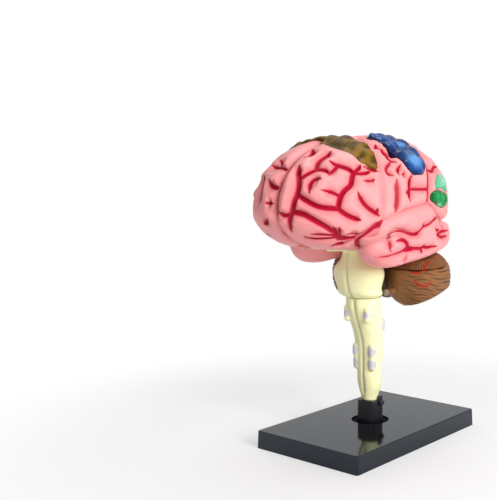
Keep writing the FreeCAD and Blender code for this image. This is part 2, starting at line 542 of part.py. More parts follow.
def seam_wall(form, seam, lead=0.0, tail=14.0, front=SEAM_GAP / 2, rear=SEAM_GAP / 2):
    """Wall along Y that stands on a seam: thin to part two lobes, or thick to clear one side."""
    places = [form.point(azimuth, elevation) for azimuth, elevation in seam]
    flat = [Vector(place.x, 0, place.z) for place in places]
    flat[0] = flat[0] + (flat[0] - flat[1]).normalize() * lead
    flat.append(flat[-1] + (flat[-1] - flat[-2]).normalize() * tail)
    sides = ([], [])
    last = len(flat) - 1
    for index, place in enumerate(flat):
        ahead = flat[min(index + 1, last)] - flat[max(index - 1, 0)]
        off = ahead.cross(Vector(0, 1, 0)).normalize()
        sides[0].append(place + off * front)
        sides[1].append(place - off * rear)
    edges = []
    for points in sides:
        curve = Part.BSplineCurve()
        curve.interpolate(Points=points)
        edges.append(curve.toShape())
    edges.append(Part.makeLine(sides[0][0], sides[1][0]))
    edges.append(Part.makeLine(sides[0][-1], sides[1][-1]))
    outline = Part.Wire(Part.__sortEdges__(edges))
    return Part.Face(outline).extrude(Vector(0, -2 * CEREBRUM_SIDE, 0))


def core_pocket():
    """Hollow in each half that the inner pieces fill, stepped so that every lobe slides off sideways."""
    shallow = upright_oval(CORE_CENTRE, CORE_HALF, 0, -CORE_DEPTH - FIT_GAP)
    deep = upright_oval(DEEP_CENTRE, DEEP_HALF, 0, -DEEP_DEPTH - FIT_GAP)
    return shallow.fuse(deep)


def carve(lobe, form, furrows, side=-1):
    for width, depth, open_start, open_end, path in furrows:
        lobe = lobe.cut(channel(*on_form(form, path, side), width, depth, (open_start, open_end)))
    return one_solid(lobe)


def patch_prism(outline, shrink=0.0, side=-1):
    """Prism from a flat floor under the surface out through an outline given as directions."""
    turned = outline if side < 0 else [(360 - azimuth, elevation) for azimuth, elevation in outline]
    places = [cerebrum.point(azimuth, elevation) for azimuth, elevation in turned]
    middle = sum(places, Vector()) * (1.0 / len(places))
    facing = (middle - cerebrum.centre).normalize()
    floor = min((place - middle).dot(facing) for place in places) - PATCH_THICKNESS
    flat = []
    for place in places:
        offset = place - middle
        across = offset - facing * offset.dot(facing)
        across = across * (1 - shrink / across.Length)
        flat.append(middle + across + facing * floor)
    return Part.Face(closed_wire(flat)).extrude(facing * (PATCH_REACH - floor))


def inlaid(lobe, outline, bumps, side=-1, limit=None):
    """Coloured area let into a lobe: returns the lobe with its recess, and the area with its bumps.

    The bumps keep clear of the middle, and of the limit where a seam runs beside the area.
    """
    seat = patch_prism(outline, 0.0, side)
    plug = patch_prism(outline, PATCH_GAP, side)
    area = one_solid(lobe.common(plug))
    for azimuth, elevation, radius, rise in bumps:
        turned = azimuth if side < 0 else 360 - azimuth
        ball = Part.makeSphere(radius, cerebrum.point(turned, elevation, rise - radius))
        area = area.fuse(ball.common(plug))
    beyond = Part.makeBox(2 * CEREBRUM_FRONT, CEREBRUM_SIDE, 3 * CEREBRUM_TOP, Vector(
        CEREBRUM_CENTRE[0] - CEREBRUM_FRONT, -MIDLINE_GAP / 2, CEREBRUM_CENTRE[2] - CEREBRUM_TOP))
    limits = [beyond] + ([limit] if limit else [])
    area = area.cut(limits if side < 0 else [mirrored(edge) for edge in limits])
    return one_solid(lobe.cut(seat)), one_solid(area)


def limbic_ring():
    """Inner wall of the left half: a ring round the thalamus, closed outwards by a thin web."""
    ring = upright_oval(CORE_CENTRE, CORE_HALF, -MIDLINE_GAP / 2, -CORE_DEPTH, -FIT_GAP)
    bay_depth = THALAMUS_HALF[1] + FIT_GAP
    bay = upright_oval((THALAMUS_CENTRE[0], THALAMUS_CENTRE[2]), (THALAMUS_HALF[0], THALAMUS_HALF[2]),
                       0, -bay_depth, FIT_GAP)
    reach = STEM_SECTIONS[-1][2] + FIT_GAP
    throat = Part.makeBox(2 * reach, bay_depth, THALAMUS_CENTRE[2] - STEM_SECTIONS[4][0],
                          Vector(STEM_SECTIONS[-1][1] - reach, -bay_depth, STEM_SECTIONS[4][0]))
    holes = [rod_along_y(x, z, LOBE_PEG_RADIUS + PEG_GAP, -CORE_DEPTH, -CORE_DEPTH + LOBE_PEG_LENGTH)
             for x, z in LOBE_PEGS.values()]
    axle = rod_along_y(THALAMUS_CENTRE[0], THALAMUS_CENTRE[2], AXLE_RADIUS + PEG_GAP, 0, -2 * CORE_DEPTH)
    return one_solid(ring.cut(bay.fuse(throat)).cut(holes + [axle]))


def basal_horn():
    """Palette-shaped deep piece with a window and a notch, on an axle through the ring into the stem."""
    inner_face = -CORE_DEPTH - PEG_GAP
    outer_face = inner_face - HORN_THICKNESS
    plate = upright_oval(DEEP_CENTRE, DEEP_HALF, inner_face, outer_face, -FIT_GAP)
    rims = [edge for edge in plate.Edges if edge.BoundBox.YLength < 0.01]
    plate = plate.makeChamfer(HORN_CHAMFER, rims)
    x, z = THALAMUS_CENTRE[0], THALAMUS_CENTRE[2]
    window = upright_oval((DEEP_CENTRE[0] + DEEP_HALF[0] * 0.45, DEEP_CENTRE[1] + 1.0), HORN_WINDOW, 0, -30)
    notch = rod_along_y(DEEP_CENTRE[0] - DEEP_HALF[0] * 0.8, DEEP_CENTRE[1] - DEEP_HALF[1] * 0.7,
                        HORN_NOTCH, 0, -30)
    axle = rod_along_y(x, z, AXLE_RADIUS, inner_face - 1, -MIDLINE_GAP)
    hole = rod_along_y(x, z, AXLE_RADIUS + PEG_GAP, outer_face, outer_face + HORN_THICKNESS * 0.6)
    return one_solid(plate.cut([window, notch]).fuse(axle).cut(hole))


def insula():
    """Domed disc with furrows like spokes, on a peg into the deep piece."""
    inner_face = -CORE_DEPTH - HORN_THICKNESS - 2 * PEG_GAP
    x, z = THALAMUS_CENTRE[0], THALAMUS_CENTRE[2]
    dome_height = DEEP_DEPTH + inner_face - INSULA_BASE
    ball_radius = (INSULA_RADIUS ** 2 + dome_height ** 2) / (2 * dome_height)
    ball = Part.makeSphere(ball_radius, Vector(0, 0, INSULA_BASE + dome_height - ball_radius))
    disc = Part.makeCylinder(INSULA_RADIUS, INSULA_BASE + dome_height).common(ball)
    for step in range(INSULA_FURROWS):
        angle = 360.0 / INSULA_FURROWS * step
        outer = Vector(INSULA_RADIUS + 1, 0, INSULA_BASE + 0.4)
        inner = Vector(INSULA_RADIUS * 0.25, 0, INSULA_BASE + dome_height - 0.2)
        up = [Vector(0.4, 0, 1).normalize()] * 2
        cut = channel([outer, inner], up, 1.6, 1.4, (False, True))
        cut.rotate(Vector(0, 0, 0), Vector(0, 0, 1), angle)
        disc = disc.cut(cut)
    peg = Part.makeCylinder(AXLE_RADIUS, HORN_THICKNESS * 0.5 + 0.5, Vector(0, 0, -HORN_THICKNESS * 0.5))
    disc = disc.fuse(peg)
    disc.rotate(Vector(0, 0, 0), Vector(1, 0, 0), 90)
    disc.translate(Vector(x, inner_face, z))
    return one_solid(disc)


def cerebellum():
    """Two swollen lobes and the worm between them, parted level into an upper and a lower shell."""
    def swollen(inset):
        x, y, z = CEREBELLUM_CENTRE
        lobe = Form((x, -y, z), CEREBELLUM_FRONT, CEREBELLUM_BACK, CEREBELLUM_SIDE,
                    CEREBELLUM_TOP, CEREBELLUM_BOTTOM, CEREBELLUM_ROUNDNESS)
        side = CEREBELLUM_SIDE * FORM_END
        left = lobe.solid(-y - side, -y + side, inset=inset)
        worm = Form((x - 1.0, 0, z), VERMIS_HALF[0], VERMIS_HALF[0], VERMIS_HALF[1],
                    VERMIS_HALF[2], VERMIS_HALF[2], 2.0)
        worm_side = VERMIS_HALF[1] * FORM_END
        return left, left.fuse([mirrored(left), worm.solid(-worm_side, worm_side, 6, inset)])

    left_core = swollen(LEAF_DEPTH)[0]
    body = swollen(0.0)[1]
    x, y, z = CEREBELLUM_CENTRE
    width = 2 * (y + CEREBELLUM_SIDE)
    roofs = []
    for form, level in ((temporal, TEMPORAL_CENTRE[1]), (cerebrum, 0.0)):
        outline = Part.Face(form.section(level, -FIT_GAP - 0.2))
        outline.translate(Vector(0, -level - width, 0))
        roofs.append(outline.extrude(Vector(0, 2 * width, 0)))
    body = body.cut(roofs)
    half_length = CEREBELLUM_FRONT + CEREBELLUM_BACK
    ramp = [Vector(x - half_length, 0, FISSURE_HEIGHT - FISSURE_RISE), Vector(x, 0, FISSURE_HEIGHT),
            Vector(x + half_length, 0, FISSURE_HEIGHT + 2 * FISSURE_RISE)]
    corners = ramp + [Vector(ramp[2].x, 0, z + 40), Vector(ramp[0].x, 0, z + 40)]
    above = Part.Face(Part.makePolygon(corners + corners[:1]))
    above.translate(Vector(0, -width, 0))
    above = above.extrude(Vector(0, 2 * width, 0))
    lower = one_solid(body.cut(above))
    lifted = above.copy()
    lifted.translate(Vector(0, 0, PEG_GAP))
    upper = one_solid(body.common(lifted).common(swollen(UPPER_INSET)[1]))

    leaf = Part.makeBox(LEAF_REACH, LEAF_REACH, LEAF_WIDTH, Vector(0, -LEAF_REACH / 2, -LEAF_WIDTH / 2))
    smooth_middle = Part.makeBox(2 * LEAF_REACH, 2 * LEAF_REACH, 2 * LEAF_REACH, Vector(
        -LEAF_REACH, -LEAF_INNER_END, z - LEAF_REACH))
    for step in range(LOWER_LEAVES):
        blade = leaf.copy()
        blade.rotate(Vector(0, 0, 0), Vector(0, 1, 0), LOWER_LEAF_STEP * (step + 0.6))
        blade.translate(Vector(FAN_POINT[0], -y, FAN_POINT[1]))
        ring = blade.cut(left_core).cut(smooth_middle)
        lower = lower.cut([ring, mirrored(ring)])
    inner_core = swollen(UPPER_INSET + LEAF_DEPTH)[0]
    for step in range(UPPER_LEAVES):
        blade = leaf.copy()
        blade.rotate(Vector(0, 0, 0), Vector(1, 0, 0), 90)
        blade.rotate(Vector(0, 0, 0), Vector(0, 0, 1), -95 + UPPER_LEAF_STEP * step)
        blade.translate(Vector(x, -y, z))
        ring = blade.cut(inner_core).cut(smooth_middle)
        upper = upper.cut([ring, mirrored(ring)])
    seat_x = STEM_SECTIONS[2][1] + STEM_SECTIONS[2][2]
    peg = rod_along_x(0, STEM_SECTIONS[2][0], JOINT_PEG_RADIUS, seat_x - JOINT_PEG_LENGTH + FIT_GAP, x)
    prongs = [rod_along_x(spread * (CORD_SECTIONS[-1][3] + PRONG_RADIUS + 0.6), STEM_SECTIONS[1][0] - 1.0,
                          PRONG_RADIUS, x - CEREBELLUM_FRONT - PRONG_LENGTH, x - 4) for spread in (-1, 1)]
    return one_solid(upper), one_solid(lower.fuse([peg] + prongs))


def left_lobes():
    """The four lobes of the left half, parted along the seams, before their furrows."""
    half = cerebrum.solid(-MIDLINE_GAP / 2, -CEREBRUM_SIDE * FORM_END)
    rim = [edge for edge in half.Edges if edge.BoundBox.YMin > -MIDLINE_GAP / 2 - 0.01]
    half = half.makeFillet(MIDLINE_ROUNDING, rim)
    swelling = temporal.solid(TEMPORAL_CENTRE[1] - TEMPORAL_SIDE * FORM_END,
                              TEMPORAL_CENTRE[1] + TEMPORAL_SIDE * FORM_END)
    pocket = core_pocket()
    lateral = seam_wall(cerebrum, LATERAL_SEAM, lead=14.0)
    walls = [lateral, seam_wall(cerebrum, CENTRAL_SEAM), seam_wall(cerebrum, REAR_SEAM)]
    passage = Part.makeBox(2 * CEREBRUM_FRONT, PASSAGE_HALF_WIDTH, 2 * CEREBRUM_TOP, Vector(
        PASSAGE_REAR - 2 * CEREBRUM_FRONT, -PASSAGE_HALF_WIDTH, PASSAGE_TOP - 2 * CEREBRUM_TOP))
    pieces = {}
    parted = sorted(half.cut(pocket).cut(walls).Solids, key=lambda solid: solid.Volume, reverse=True)[:4]
    for piece in parted:
        middle = piece.CenterOfMass
        if middle.x < cerebrum.point(*CENTRAL_SEAM[0]).x:
            pieces["frontal"] = piece
        elif middle.z < cerebrum.point(*LATERAL_SEAM[4]).z - 6:
            pieces["temporal"] = piece
        elif middle.x < cerebrum.point(*REAR_SEAM[1]).x:
            pieces["parietal"] = piece
        else:
            pieces["occipital"] = piece
    lower = min(swelling.cut(walls[0]).Solids, key=lambda solid: solid.CenterOfMass.z)
    pieces["temporal"] = one_solid(pieces["temporal"].fuse(lower).cut(pocket).cut(passage))
    for name, (x, z) in LOBE_PEGS.items():
        floor = -CORE_DEPTH - FIT_GAP
        peg = rod_along_y(x, z, LOBE_PEG_RADIUS, floor - 1.0, floor + LOBE_PEG_LENGTH)
        pieces[name] = pieces[name].fuse(peg)
    return pieces


def half_brain(side, blanks):
    """The lobes and coloured areas of one half, from their blanks."""
    frontal_furrows = FRONTAL_FURROWS if side < 0 else FRONTAL_FURROWS_RIGHT
    premotor_outline = PREMOTOR_OUTLINE if side < 0 else PREMOTOR_OUTLINE_RIGHT
    behind = seam_wall(cerebrum, CENTRAL_SEAM, rear=PATCH_REACH)
    after = seam_wall(cerebrum, REAR_SEAM, rear=PATCH_REACH)
    frontal, premotor = inlaid(blanks["frontal"], premotor_outline, PREMOTOR_BUMPS, side, behind)
    parietal, motor = inlaid(blanks["parietal"], MOTOR_OUTLINE, MOTOR_BUMPS, side, after)
    below = seam_wall(cerebrum, LATERAL_SEAM, rear=PATCH_REACH)
    occipital, speech = inlaid(blanks["occipital"], SPEECH_OUTLINE, SPEECH_BUMPS, side, below)
    occipital, visual = inlaid(occipital, VISUAL_OUTLINE, VISUAL_BUMPS, side)
    return {
        "frontal_lobe": carve(frontal, cerebrum, frontal_furrows, side),
        "parietal_lobe": carve(parietal, cerebrum, PARIETAL_FURROWS, side),
        "occipital_lobe": carve(occipital, cerebrum, OCCIPITAL_FURROWS, side),
        "temporal_lobe": carve(blanks["temporal"], side_form(temporal, side), TEMPORAL_FURROWS, side),
        "premotor_area": premotor,
        "motor_area": motor,
        "speech_area": speech,
        "visual_area": visual,
    }


def side_form(form, side):
    """The form itself for the left half, or its twin across the middle for the right half."""
    if side < 0:
        return form
    twin = Form(form.centre, form.front, form.back, form.side, form.top, form.bottom, form.roundness,
                cover=form.cover)
    twin.centre = Vector(form.centre.x, -form.centre.y, form.centre.z)
    twin.turn = form.turn
    return twin


def main():
    os.makedirs("parts", exist_ok=True)
    upper, lower = cerebellum()
    nodes = {"base_plate": base_plate(), "stand_post": stand_post(), "spinal_cord": spinal_cord(),
             "brain_stem": brain_stem(), "cerebellum_upper": upper, "cerebellum_lower": lower}
    for name, shape in (("limbic_ring", limbic_ring()), ("basal_horn", basal_horn()), ("insula", insula())):
        nodes[name + "_left"] = shape
        nodes[name + "_right"] = mirrored(shape)
    blanks = left_lobes()
    for name, shape in half_brain(-1, blanks).items():
        nodes[name + "_left"] = shape
    for name, shape in half_brain(1, {name: mirrored(shape) for name, shape in blanks.items()}).items():
        nodes[name + "_right"] = shape
    for name, shape in nodes.items():
        shape.exportStep("parts/" + name + ".step")


main()
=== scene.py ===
import math
import bpy
import numpy as np
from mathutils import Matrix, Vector


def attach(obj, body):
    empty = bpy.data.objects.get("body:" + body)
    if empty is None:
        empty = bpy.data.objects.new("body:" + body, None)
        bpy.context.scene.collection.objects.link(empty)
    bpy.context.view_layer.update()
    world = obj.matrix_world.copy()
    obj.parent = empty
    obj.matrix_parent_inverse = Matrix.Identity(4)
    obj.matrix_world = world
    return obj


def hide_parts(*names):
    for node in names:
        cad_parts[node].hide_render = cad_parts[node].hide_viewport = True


# Take-apart teaching model of a human brain on a stand. Sizes and places are in
# millimetres, but for Blender's own sockets, lamps and camera, which are in metres.
# The model looks towards -X and its left half lies at -Y, as the solids do.
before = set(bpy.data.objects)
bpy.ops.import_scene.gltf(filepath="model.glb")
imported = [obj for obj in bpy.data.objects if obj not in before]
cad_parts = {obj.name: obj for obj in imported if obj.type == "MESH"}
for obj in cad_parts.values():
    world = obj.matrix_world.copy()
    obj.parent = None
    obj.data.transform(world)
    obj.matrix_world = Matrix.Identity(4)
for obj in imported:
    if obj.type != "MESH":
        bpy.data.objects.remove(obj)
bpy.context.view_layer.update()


# Base plate: an oblong plate of black polystyrene, moulded in a polished tool.
# The top mirrors the post and the pale room, and the flanks keep a faint orange peel
# from the cooling plastic. It keeps the hub and the well of the solid.

def linear(colour):
    """sRGB hex colour as the linear RGBA that nodes read."""
    parts = [int(colour[start:start + 2], 16) / 255 for start in (0, 2, 4)]
    return [part / 12.92 if part <= 0.04045 else ((part + 0.055) / 1.055) ** 2.4 for part in parts] + [1.0]


def add(finish, kind, settings=None, links=None):
    """Adds a node with its settings; links holds a value or another node's socket for each input."""
    node = finish.node_tree.nodes.new(kind)
    for name, value in (settings or {}).items():
        setattr(node, name, value)
    for name, value in (links or {}).items():
        if isinstance(value, bpy.types.NodeSocket):
            finish.node_tree.links.new(value, node.inputs[name])
        else:
            node.inputs[name].default_value = value
    return node


def new_finish(name, ior, roughness):
    """New material and its shader, at the index and roughness of the real plastic."""
    finish = bpy.data.materials.new(name)
    finish.use_nodes = True
    shader = finish.node_tree.nodes["Principled BSDF"]
    shader.inputs["IOR"].default_value = ior
    shader.inputs["Roughness"].default_value = roughness
    return finish, shader


def feed(finish, shader, **sockets):
    """Links other nodes' sockets to the shader's inputs, named with underscores for spaces."""
    for name, socket in sockets.items():
        finish.node_tree.links.new(socket, shader.inputs[name.replace("_", " ")])


def coat_node(name, finish):
    """Gives a carried-over solid its finish."""
    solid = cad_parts[name]
    solid.data.materials.clear()
    solid.data.materials.append(finish)


PER_METRE = 1000

# Swells of the orange peel and patches of haze, measured across
PEEL_SIZE = 5.0
HAZE_SIZE = 14.0

# Polystyrene from a polished tool: near black, with the gloss of a mirror
polished_black, shader = new_finish("polished black polystyrene", 1.59, 0.07)
shader.inputs["Base Color"].default_value = linear("0B0E12")
shader.inputs["Specular Tint"].default_value = linear("D2E9FF")
place = add(polished_black, "ShaderNodeTexCoord")
haze = add(polished_black, "ShaderNodeTexNoise", {},
           {"Vector": place.outputs["Object"], "Scale": PER_METRE / HAZE_SIZE, "Detail": 4.0})
sheen_range = add(polished_black, "ShaderNodeMapRange", {},
                  {"Value": haze.outputs["Fac"], "To Min": 0.05, "To Max": 0.13})
peel = add(polished_black, "ShaderNodeTexNoise", {},
           {"Vector": place.outputs["Object"], "Scale": PER_METRE / PEEL_SIZE, "Detail": 1.0})
peel_bump = add(polished_black, "ShaderNodeBump", {}, {"Height": peel.outputs["Fac"], "Strength": 0.05,
                                                       "Distance": 0.0002})
feed(polished_black, shader, Roughness=sheen_range.outputs["Result"], Normal=peel_bump.outputs["Normal"])
coat_node("base_plate", polished_black)


# Stand post: black ABS pushed into the well of the plate, with a flared collar and two
# cheeks that grip the foot of the cord. Its tool was spark eroded, so it is satin
# with a fine grain, and a little lighter than the plate.

# Eroded grain, drawn coarser than the real 0.05 so that it shows
GRAIN_SIZE = 0.45

# ABS from an eroded tool: charcoal black that only glints along its edges
satin_black, shader = new_finish("satin black ABS", 1.54, 0.34)
shader.inputs["Base Color"].default_value = linear("121317")
place = add(satin_black, "ShaderNodeTexCoord")
grain = add(satin_black, "ShaderNodeTexNoise", {},
            {"Vector": place.outputs["Object"], "Scale": PER_METRE / GRAIN_SIZE, "Detail": 2.0})
grain_bump = add(satin_black, "ShaderNodeBump", {}, {"Height": grain.outputs["Fac"], "Strength": 0.25,
                                                     "Distance": 0.0002})
feed(satin_black, shader, Normal=grain_bump.outputs["Normal"])
coat_node("stand_post", satin_black)


# Spinal cord and brain stem: two cream PVC mouldings plugged together under the pons.
# The soft tool leaves them waxy, with a shallow groove down the front and low knots
# where nerve roots leave, which are dabbed lilac grey by hand.

# Fineness of the skin, and how near two points are taken for one
SKIN_VOXEL = 0.5
SKIN_SMOOTHING = 2
WELD_REACH = 0.002

# One nerve root of each pair, and half the size of the dab on it
DABS = [(-9.1, 5.6, 58.8), (-4.6, 4.6, 41.3), (-4.3, 4.4, 35.4), (0.6, 6.3, 53.0)]
DAB_HALF = (1.9, 1.6, 2.6)
DAB_EDGE = 0.3

# Painted shade in the groove, on skin that doesn't look backwards
GROOVE_HALF = 1.1
GROOVE_TOP = 92.0
GROOVE_TONE = 0.3
FRONT_NORMAL = 0.1

# Fibres that wrap the pons as bowed, slightly wavy ridges
PONS_LOW = 67.0
PONS_HIGH = 83.0
LOW_FADE = 4.0
HIGH_FADE = 6.0
FIBRE_PITCH = 1.7
FIBRE_DEPTH = 0.13
FIBRE_BOW = 0.02
FIBRE_WAVE = 0.3
FIBRE_WAVE_RATE = 0.9


def remeshed(node, name, voxel, smoothing):
    """Copy of a solid with an even skin, its sharp edges softened as in a rubber mould."""
    bpy.ops.object.select_all(action="DESELECT")
    piece = bpy.data.objects.new(name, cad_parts[node].data.copy())
    bpy.context.collection.objects.link(piece)
    bpy.context.view_layer.objects.active = piece
    piece.select_set(True)
    bpy.ops.object.mode_set(mode="EDIT")
    bpy.ops.mesh.select_all(action="SELECT")
    bpy.ops.mesh.remove_doubles(threshold=WELD_REACH / PER_METRE)
    bpy.ops.object.mode_set(mode="OBJECT")
    skin = piece.modifiers.new("Skin", "REMESH")
    skin.mode = "VOXEL"
    skin.voxel_size = voxel / PER_METRE
    bpy.ops.object.modifier_apply(modifier=skin.name)
    soft = piece.modifiers.new("Soft", "SMOOTH")
    soft.factor = 0.5
    soft.iterations = smoothing
    bpy.ops.object.modifier_apply(modifier=soft.name)
    bpy.ops.object.shade_smooth()
    piece.data.materials.clear()
    return piece


def points_of(piece):
    """Points of a mesh in millimetres, and their outward normals."""
    count = len(piece.data.vertices)
    places, normals = np.empty(count * 3), np.empty(count * 3)
    piece.data.vertices.foreach_get("co", places)
    piece.data.vertices.foreach_get("normal", normals)
    return places.reshape(-1, 3) * PER_METRE, normals.reshape(-1, 3)


def set_points(piece, places):
    """Puts a mesh's points in these places."""
    piece.data.vertices.foreach_set("co", (places / PER_METRE).ravel())
    piece.data.update()


def note(piece, name, values):
    """Stores one number a point for the material to read."""
    tone = piece.data.attributes.get(name) or piece.data.attributes.new(name, "FLOAT", "POINT")
    tone.data.foreach_set("value", values.astype(np.float32))


def noted(piece, name):
    """The numbers stored under a name, or zeros."""
    values = np.zeros(len(piece.data.vertices), np.float32)
    tone = piece.data.attributes.get(name)
    if tone:
        tone.data.foreach_get("value", values)
    return values.astype(float)


def eased(value):
    """Smooth step: 0 up to 0, 1 from 1, and a soft slope between."""
    value = np.clip(value, 0, 1)
    return value * value * (3 - 2 * value)


# Patches of uneven pigment, and the waxy grain, coarser than the real 0.2 so that it shows
PIGMENT_CLOUD = 9.0
WAX_GRAIN = 1.1

# A Mix node's colour sockets by number, because their names repeat
SHARE, FROM, TO = 0, 6, 7
MIXED = 2

# Soft PVC: light sinks in a little, so the cream looks warm and waxy
cream_pvc, shader = new_finish("cream moulded PVC", 1.53, 0.42)
shader.inputs["Subsurface Weight"].default_value = 0.15
shader.inputs["Subsurface Radius"].default_value = (0.002, 0.0016, 0.0009)
shader.inputs["Subsurface Scale"].default_value = 1.0
place = add(cream_pvc, "ShaderNodeTexCoord")
cloud = add(cream_pvc, "ShaderNodeTexNoise", {},
            {"Vector": place.outputs["Object"], "Scale": PER_METRE / PIGMENT_CLOUD, "Detail": 3.0})
ground = add(cream_pvc, "ShaderNodeMix", {"data_type": "RGBA"},
             {SHARE: cloud.outputs["Fac"], FROM: linear("F4F0B4"), TO: linear("FCFACB")})
# Painted shade along the groove down the front
groove_shade = add(cream_pvc, "ShaderNodeAttribute", {"attribute_name": "groove_shade"})
shaded = add(cream_pvc, "ShaderNodeMix", {"data_type": "RGBA"},
             {SHARE: groove_shade.outputs["Fac"], FROM: ground.outputs[MIXED], TO: linear("A79C6E")})
dab = add(cream_pvc, "ShaderNodeAttribute", {"attribute_name": "dab"})
dabbed = add(cream_pvc, "ShaderNodeMix", {"data_type": "RGBA"},
             {SHARE: dab.outputs["Fac"], FROM: shaded.outputs[MIXED], TO: linear("C9C5CC")})
wax = add(cream_pvc, "ShaderNodeTexNoise", {},
          {"Vector": place.outputs["Object"], "Scale": PER_METRE / WAX_GRAIN, "Detail": 2.0})
wax_bump = add(cream_pvc, "ShaderNodeBump", {}, {"Height": wax.outputs["Fac"], "Strength": 0.12,
                                                 "Distance": 0.0003})
feed(cream_pvc, shader, Base_Color=dabbed.outputs[MIXED], Normal=wax_bump.outputs["Normal"])

for node in ("spinal_cord", "brain_stem"):
    piece = remeshed(node, node + "_moulding", SKIN_VOXEL, SKIN_SMOOTHING)
    places, normals = points_of(piece)
    beside, level = places[:, 1], places[:, 2]
    groove = eased(1 - np.abs(beside) / GROOVE_HALF) * (normals[:, 0] < FRONT_NORMAL) * (level < GROOVE_TOP)
    dabs = np.zeros(len(places))
    if node == "spinal_cord":
        for x, y, z in DABS:
            for centre in ((x, y, z), (x, -y, z)):
                near = np.linalg.norm((places - np.array(centre)) / np.array(DAB_HALF), axis=1)
                dabs = np.maximum(dabs, eased((1 + DAB_EDGE - near) / DAB_EDGE))
    else:
        band = eased((level - PONS_LOW) / LOW_FADE) * eased((PONS_HIGH - level) / HIGH_FADE)
        band = band * (places[:, 0] < 0)
        bowed = level + FIBRE_BOW * beside ** 2 + FIBRE_WAVE * np.sin(beside * FIBRE_WAVE_RATE)
        ripple = np.sqrt(np.abs(np.sin(bowed * math.pi / FIBRE_PITCH))) - 1
        set_points(piece, places + normals * (band * FIBRE_DEPTH * ripple)[:, None])
    note(piece, "dab", dabs)
    note(piece, "groove_shade", groove * GROOVE_TONE)
    piece.data.materials.append(cream_pvc)
    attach(piece, "stem")
    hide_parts(node)


# Inner pieces of each half: a pink ring round the thalamus, a maroon palette with a
# window on the same axle, and the round insula. They are solid PVC and hidden
# until the lobes come off, so they are plain but for an uneven tint.

# PVC with more pigment: deep wine red, with a satin sheen
maroon_pvc, shader = new_finish("maroon moulded PVC", 1.53, 0.36)
place = add(maroon_pvc, "ShaderNodeTexCoord")
cloud = add(maroon_pvc, "ShaderNodeTexNoise", {},
            {"Vector": place.outputs["Object"], "Scale": PER_METRE / PIGMENT_CLOUD, "Detail": 4.0})
tint = add(maroon_pvc, "ShaderNodeMix", {"data_type": "RGBA"},
           {SHARE: cloud.outputs["Fac"], FROM: linear("6B1626"), TO: linear("8C2437")})
wax = add(maroon_pvc, "ShaderNodeTexNoise", {},
          {"Vector": place.outputs["Object"], "Scale": PER_METRE / WAX_GRAIN, "Detail": 2.0})
wax_bump = add(maroon_pvc, "ShaderNodeBump", {}, {"Height": wax.outputs["Fac"], "Strength": 0.15,
                                                  "Distance": 0.0003})
feed(maroon_pvc, shader, Base_Color=tint.outputs[MIXED], Normal=wax_bump.outputs["Normal"])
for side in ("left", "right"):
    coat_node("basal_horn_" + side, maroon_pvc)


# Lobes: eight hollow shells of pink PVC, rotational moulded, that peg onto the inner
# pieces. The folds are plump and meet in sharp furrows, and a deep red wash is
# wiped into the furrows, so it fades up their shoulders, where painted shade is added.

# Patches of pigment, the skin's grain and the ragged edge of the wash, the grain drawn
# coarser than the real 0.2 so that it shows
PINK_CLOUD = 11.0
PINK_GRAIN = 0.9
WASH_GRAIN = 1.7
WASH_RAGGED = 0.1

# How the wash and the painted shade take over the pink: (strength noted on the skin, share of crimson)
WASH_RAMP = [(0.08, 0.0), (0.48, 0.42), (0.86, 1.0)]

# Soft PVC: candy pink with a slight sheen, and crimson and matt where the wash has dried
pink_pvc, shader = new_finish("pink moulded PVC", 1.53, 0.38)
shader.inputs["Specular IOR Level"].default_value = 0.35
shader.inputs["Subsurface Weight"].default_value = 0.12
shader.inputs["Subsurface Radius"].default_value = (0.003, 0.0012, 0.001)
shader.inputs["Subsurface Scale"].default_value = 1.0
place = add(pink_pvc, "ShaderNodeTexCoord")
cloud = add(pink_pvc, "ShaderNodeTexNoise", {},
            {"Vector": place.outputs["Object"], "Scale": PER_METRE / PINK_CLOUD, "Detail": 3.0})
ground = add(pink_pvc, "ShaderNodeMix", {"data_type": "RGBA"},
             {SHARE: cloud.outputs["Fac"], FROM: linear("F08F93"), TO: linear("F9A6A4")})
# The wash in the furrows, with painted shade on their shoulders
wash_and_shade = add(pink_pvc, "ShaderNodeAttribute", {"attribute_name": "wash_and_shade"})
ragged = add(pink_pvc, "ShaderNodeTexNoise", {},
             {"Vector": place.outputs["Object"], "Scale": PER_METRE / WASH_GRAIN, "Detail": 2.0})
ragged_edge = add(pink_pvc, "ShaderNodeMath", {"operation": "MULTIPLY_ADD"},
                  {0: ragged.outputs["Fac"], 1: WASH_RAGGED, 2: wash_and_shade.outputs["Fac"]})
fade = add(pink_pvc, "ShaderNodeValToRGB", {}, {"Fac": ragged_edge.outputs["Value"]})
stops = fade.color_ramp.elements
stops.new(0.5)
for stop, (strength, share) in zip(stops, WASH_RAMP):
    stop.position = strength
    stop.color = (share, share, share, 1)
wash_and_shade_mix = add(pink_pvc, "ShaderNodeMix", {"data_type": "RGBA"},
             {SHARE: fade.outputs["Color"], FROM: ground.outputs[MIXED], TO: linear("B0032E")})
dried = add(pink_pvc, "ShaderNodeMapRange", {},
            {"Value": fade.outputs["Color"], "To Min": 0.38, "To Max": 0.62})
grain = add(pink_pvc, "ShaderNodeTexNoise", {},
            {"Vector": place.outputs["Object"], "Scale": PER_METRE / PINK_GRAIN, "Detail": 2.0})
grain_bump = add(pink_pvc, "ShaderNodeBump", {}, {"Height": grain.outputs["Fac"], "Strength": 0.1,
                                                  "Distance": 0.0003})
feed(pink_pvc, shader, Base_Color=wash_and_shade_mix.outputs[MIXED], Roughness=dried.outputs["Result"],
     Normal=grain_bump.outputs["Normal"])

# The rings and insulas of the section above are of the same pink
for side in ("left", "right"):
    coat_node("limbic_ring_" + side, pink_pvc)
    coat_node("insula_" + side, pink_pvc)


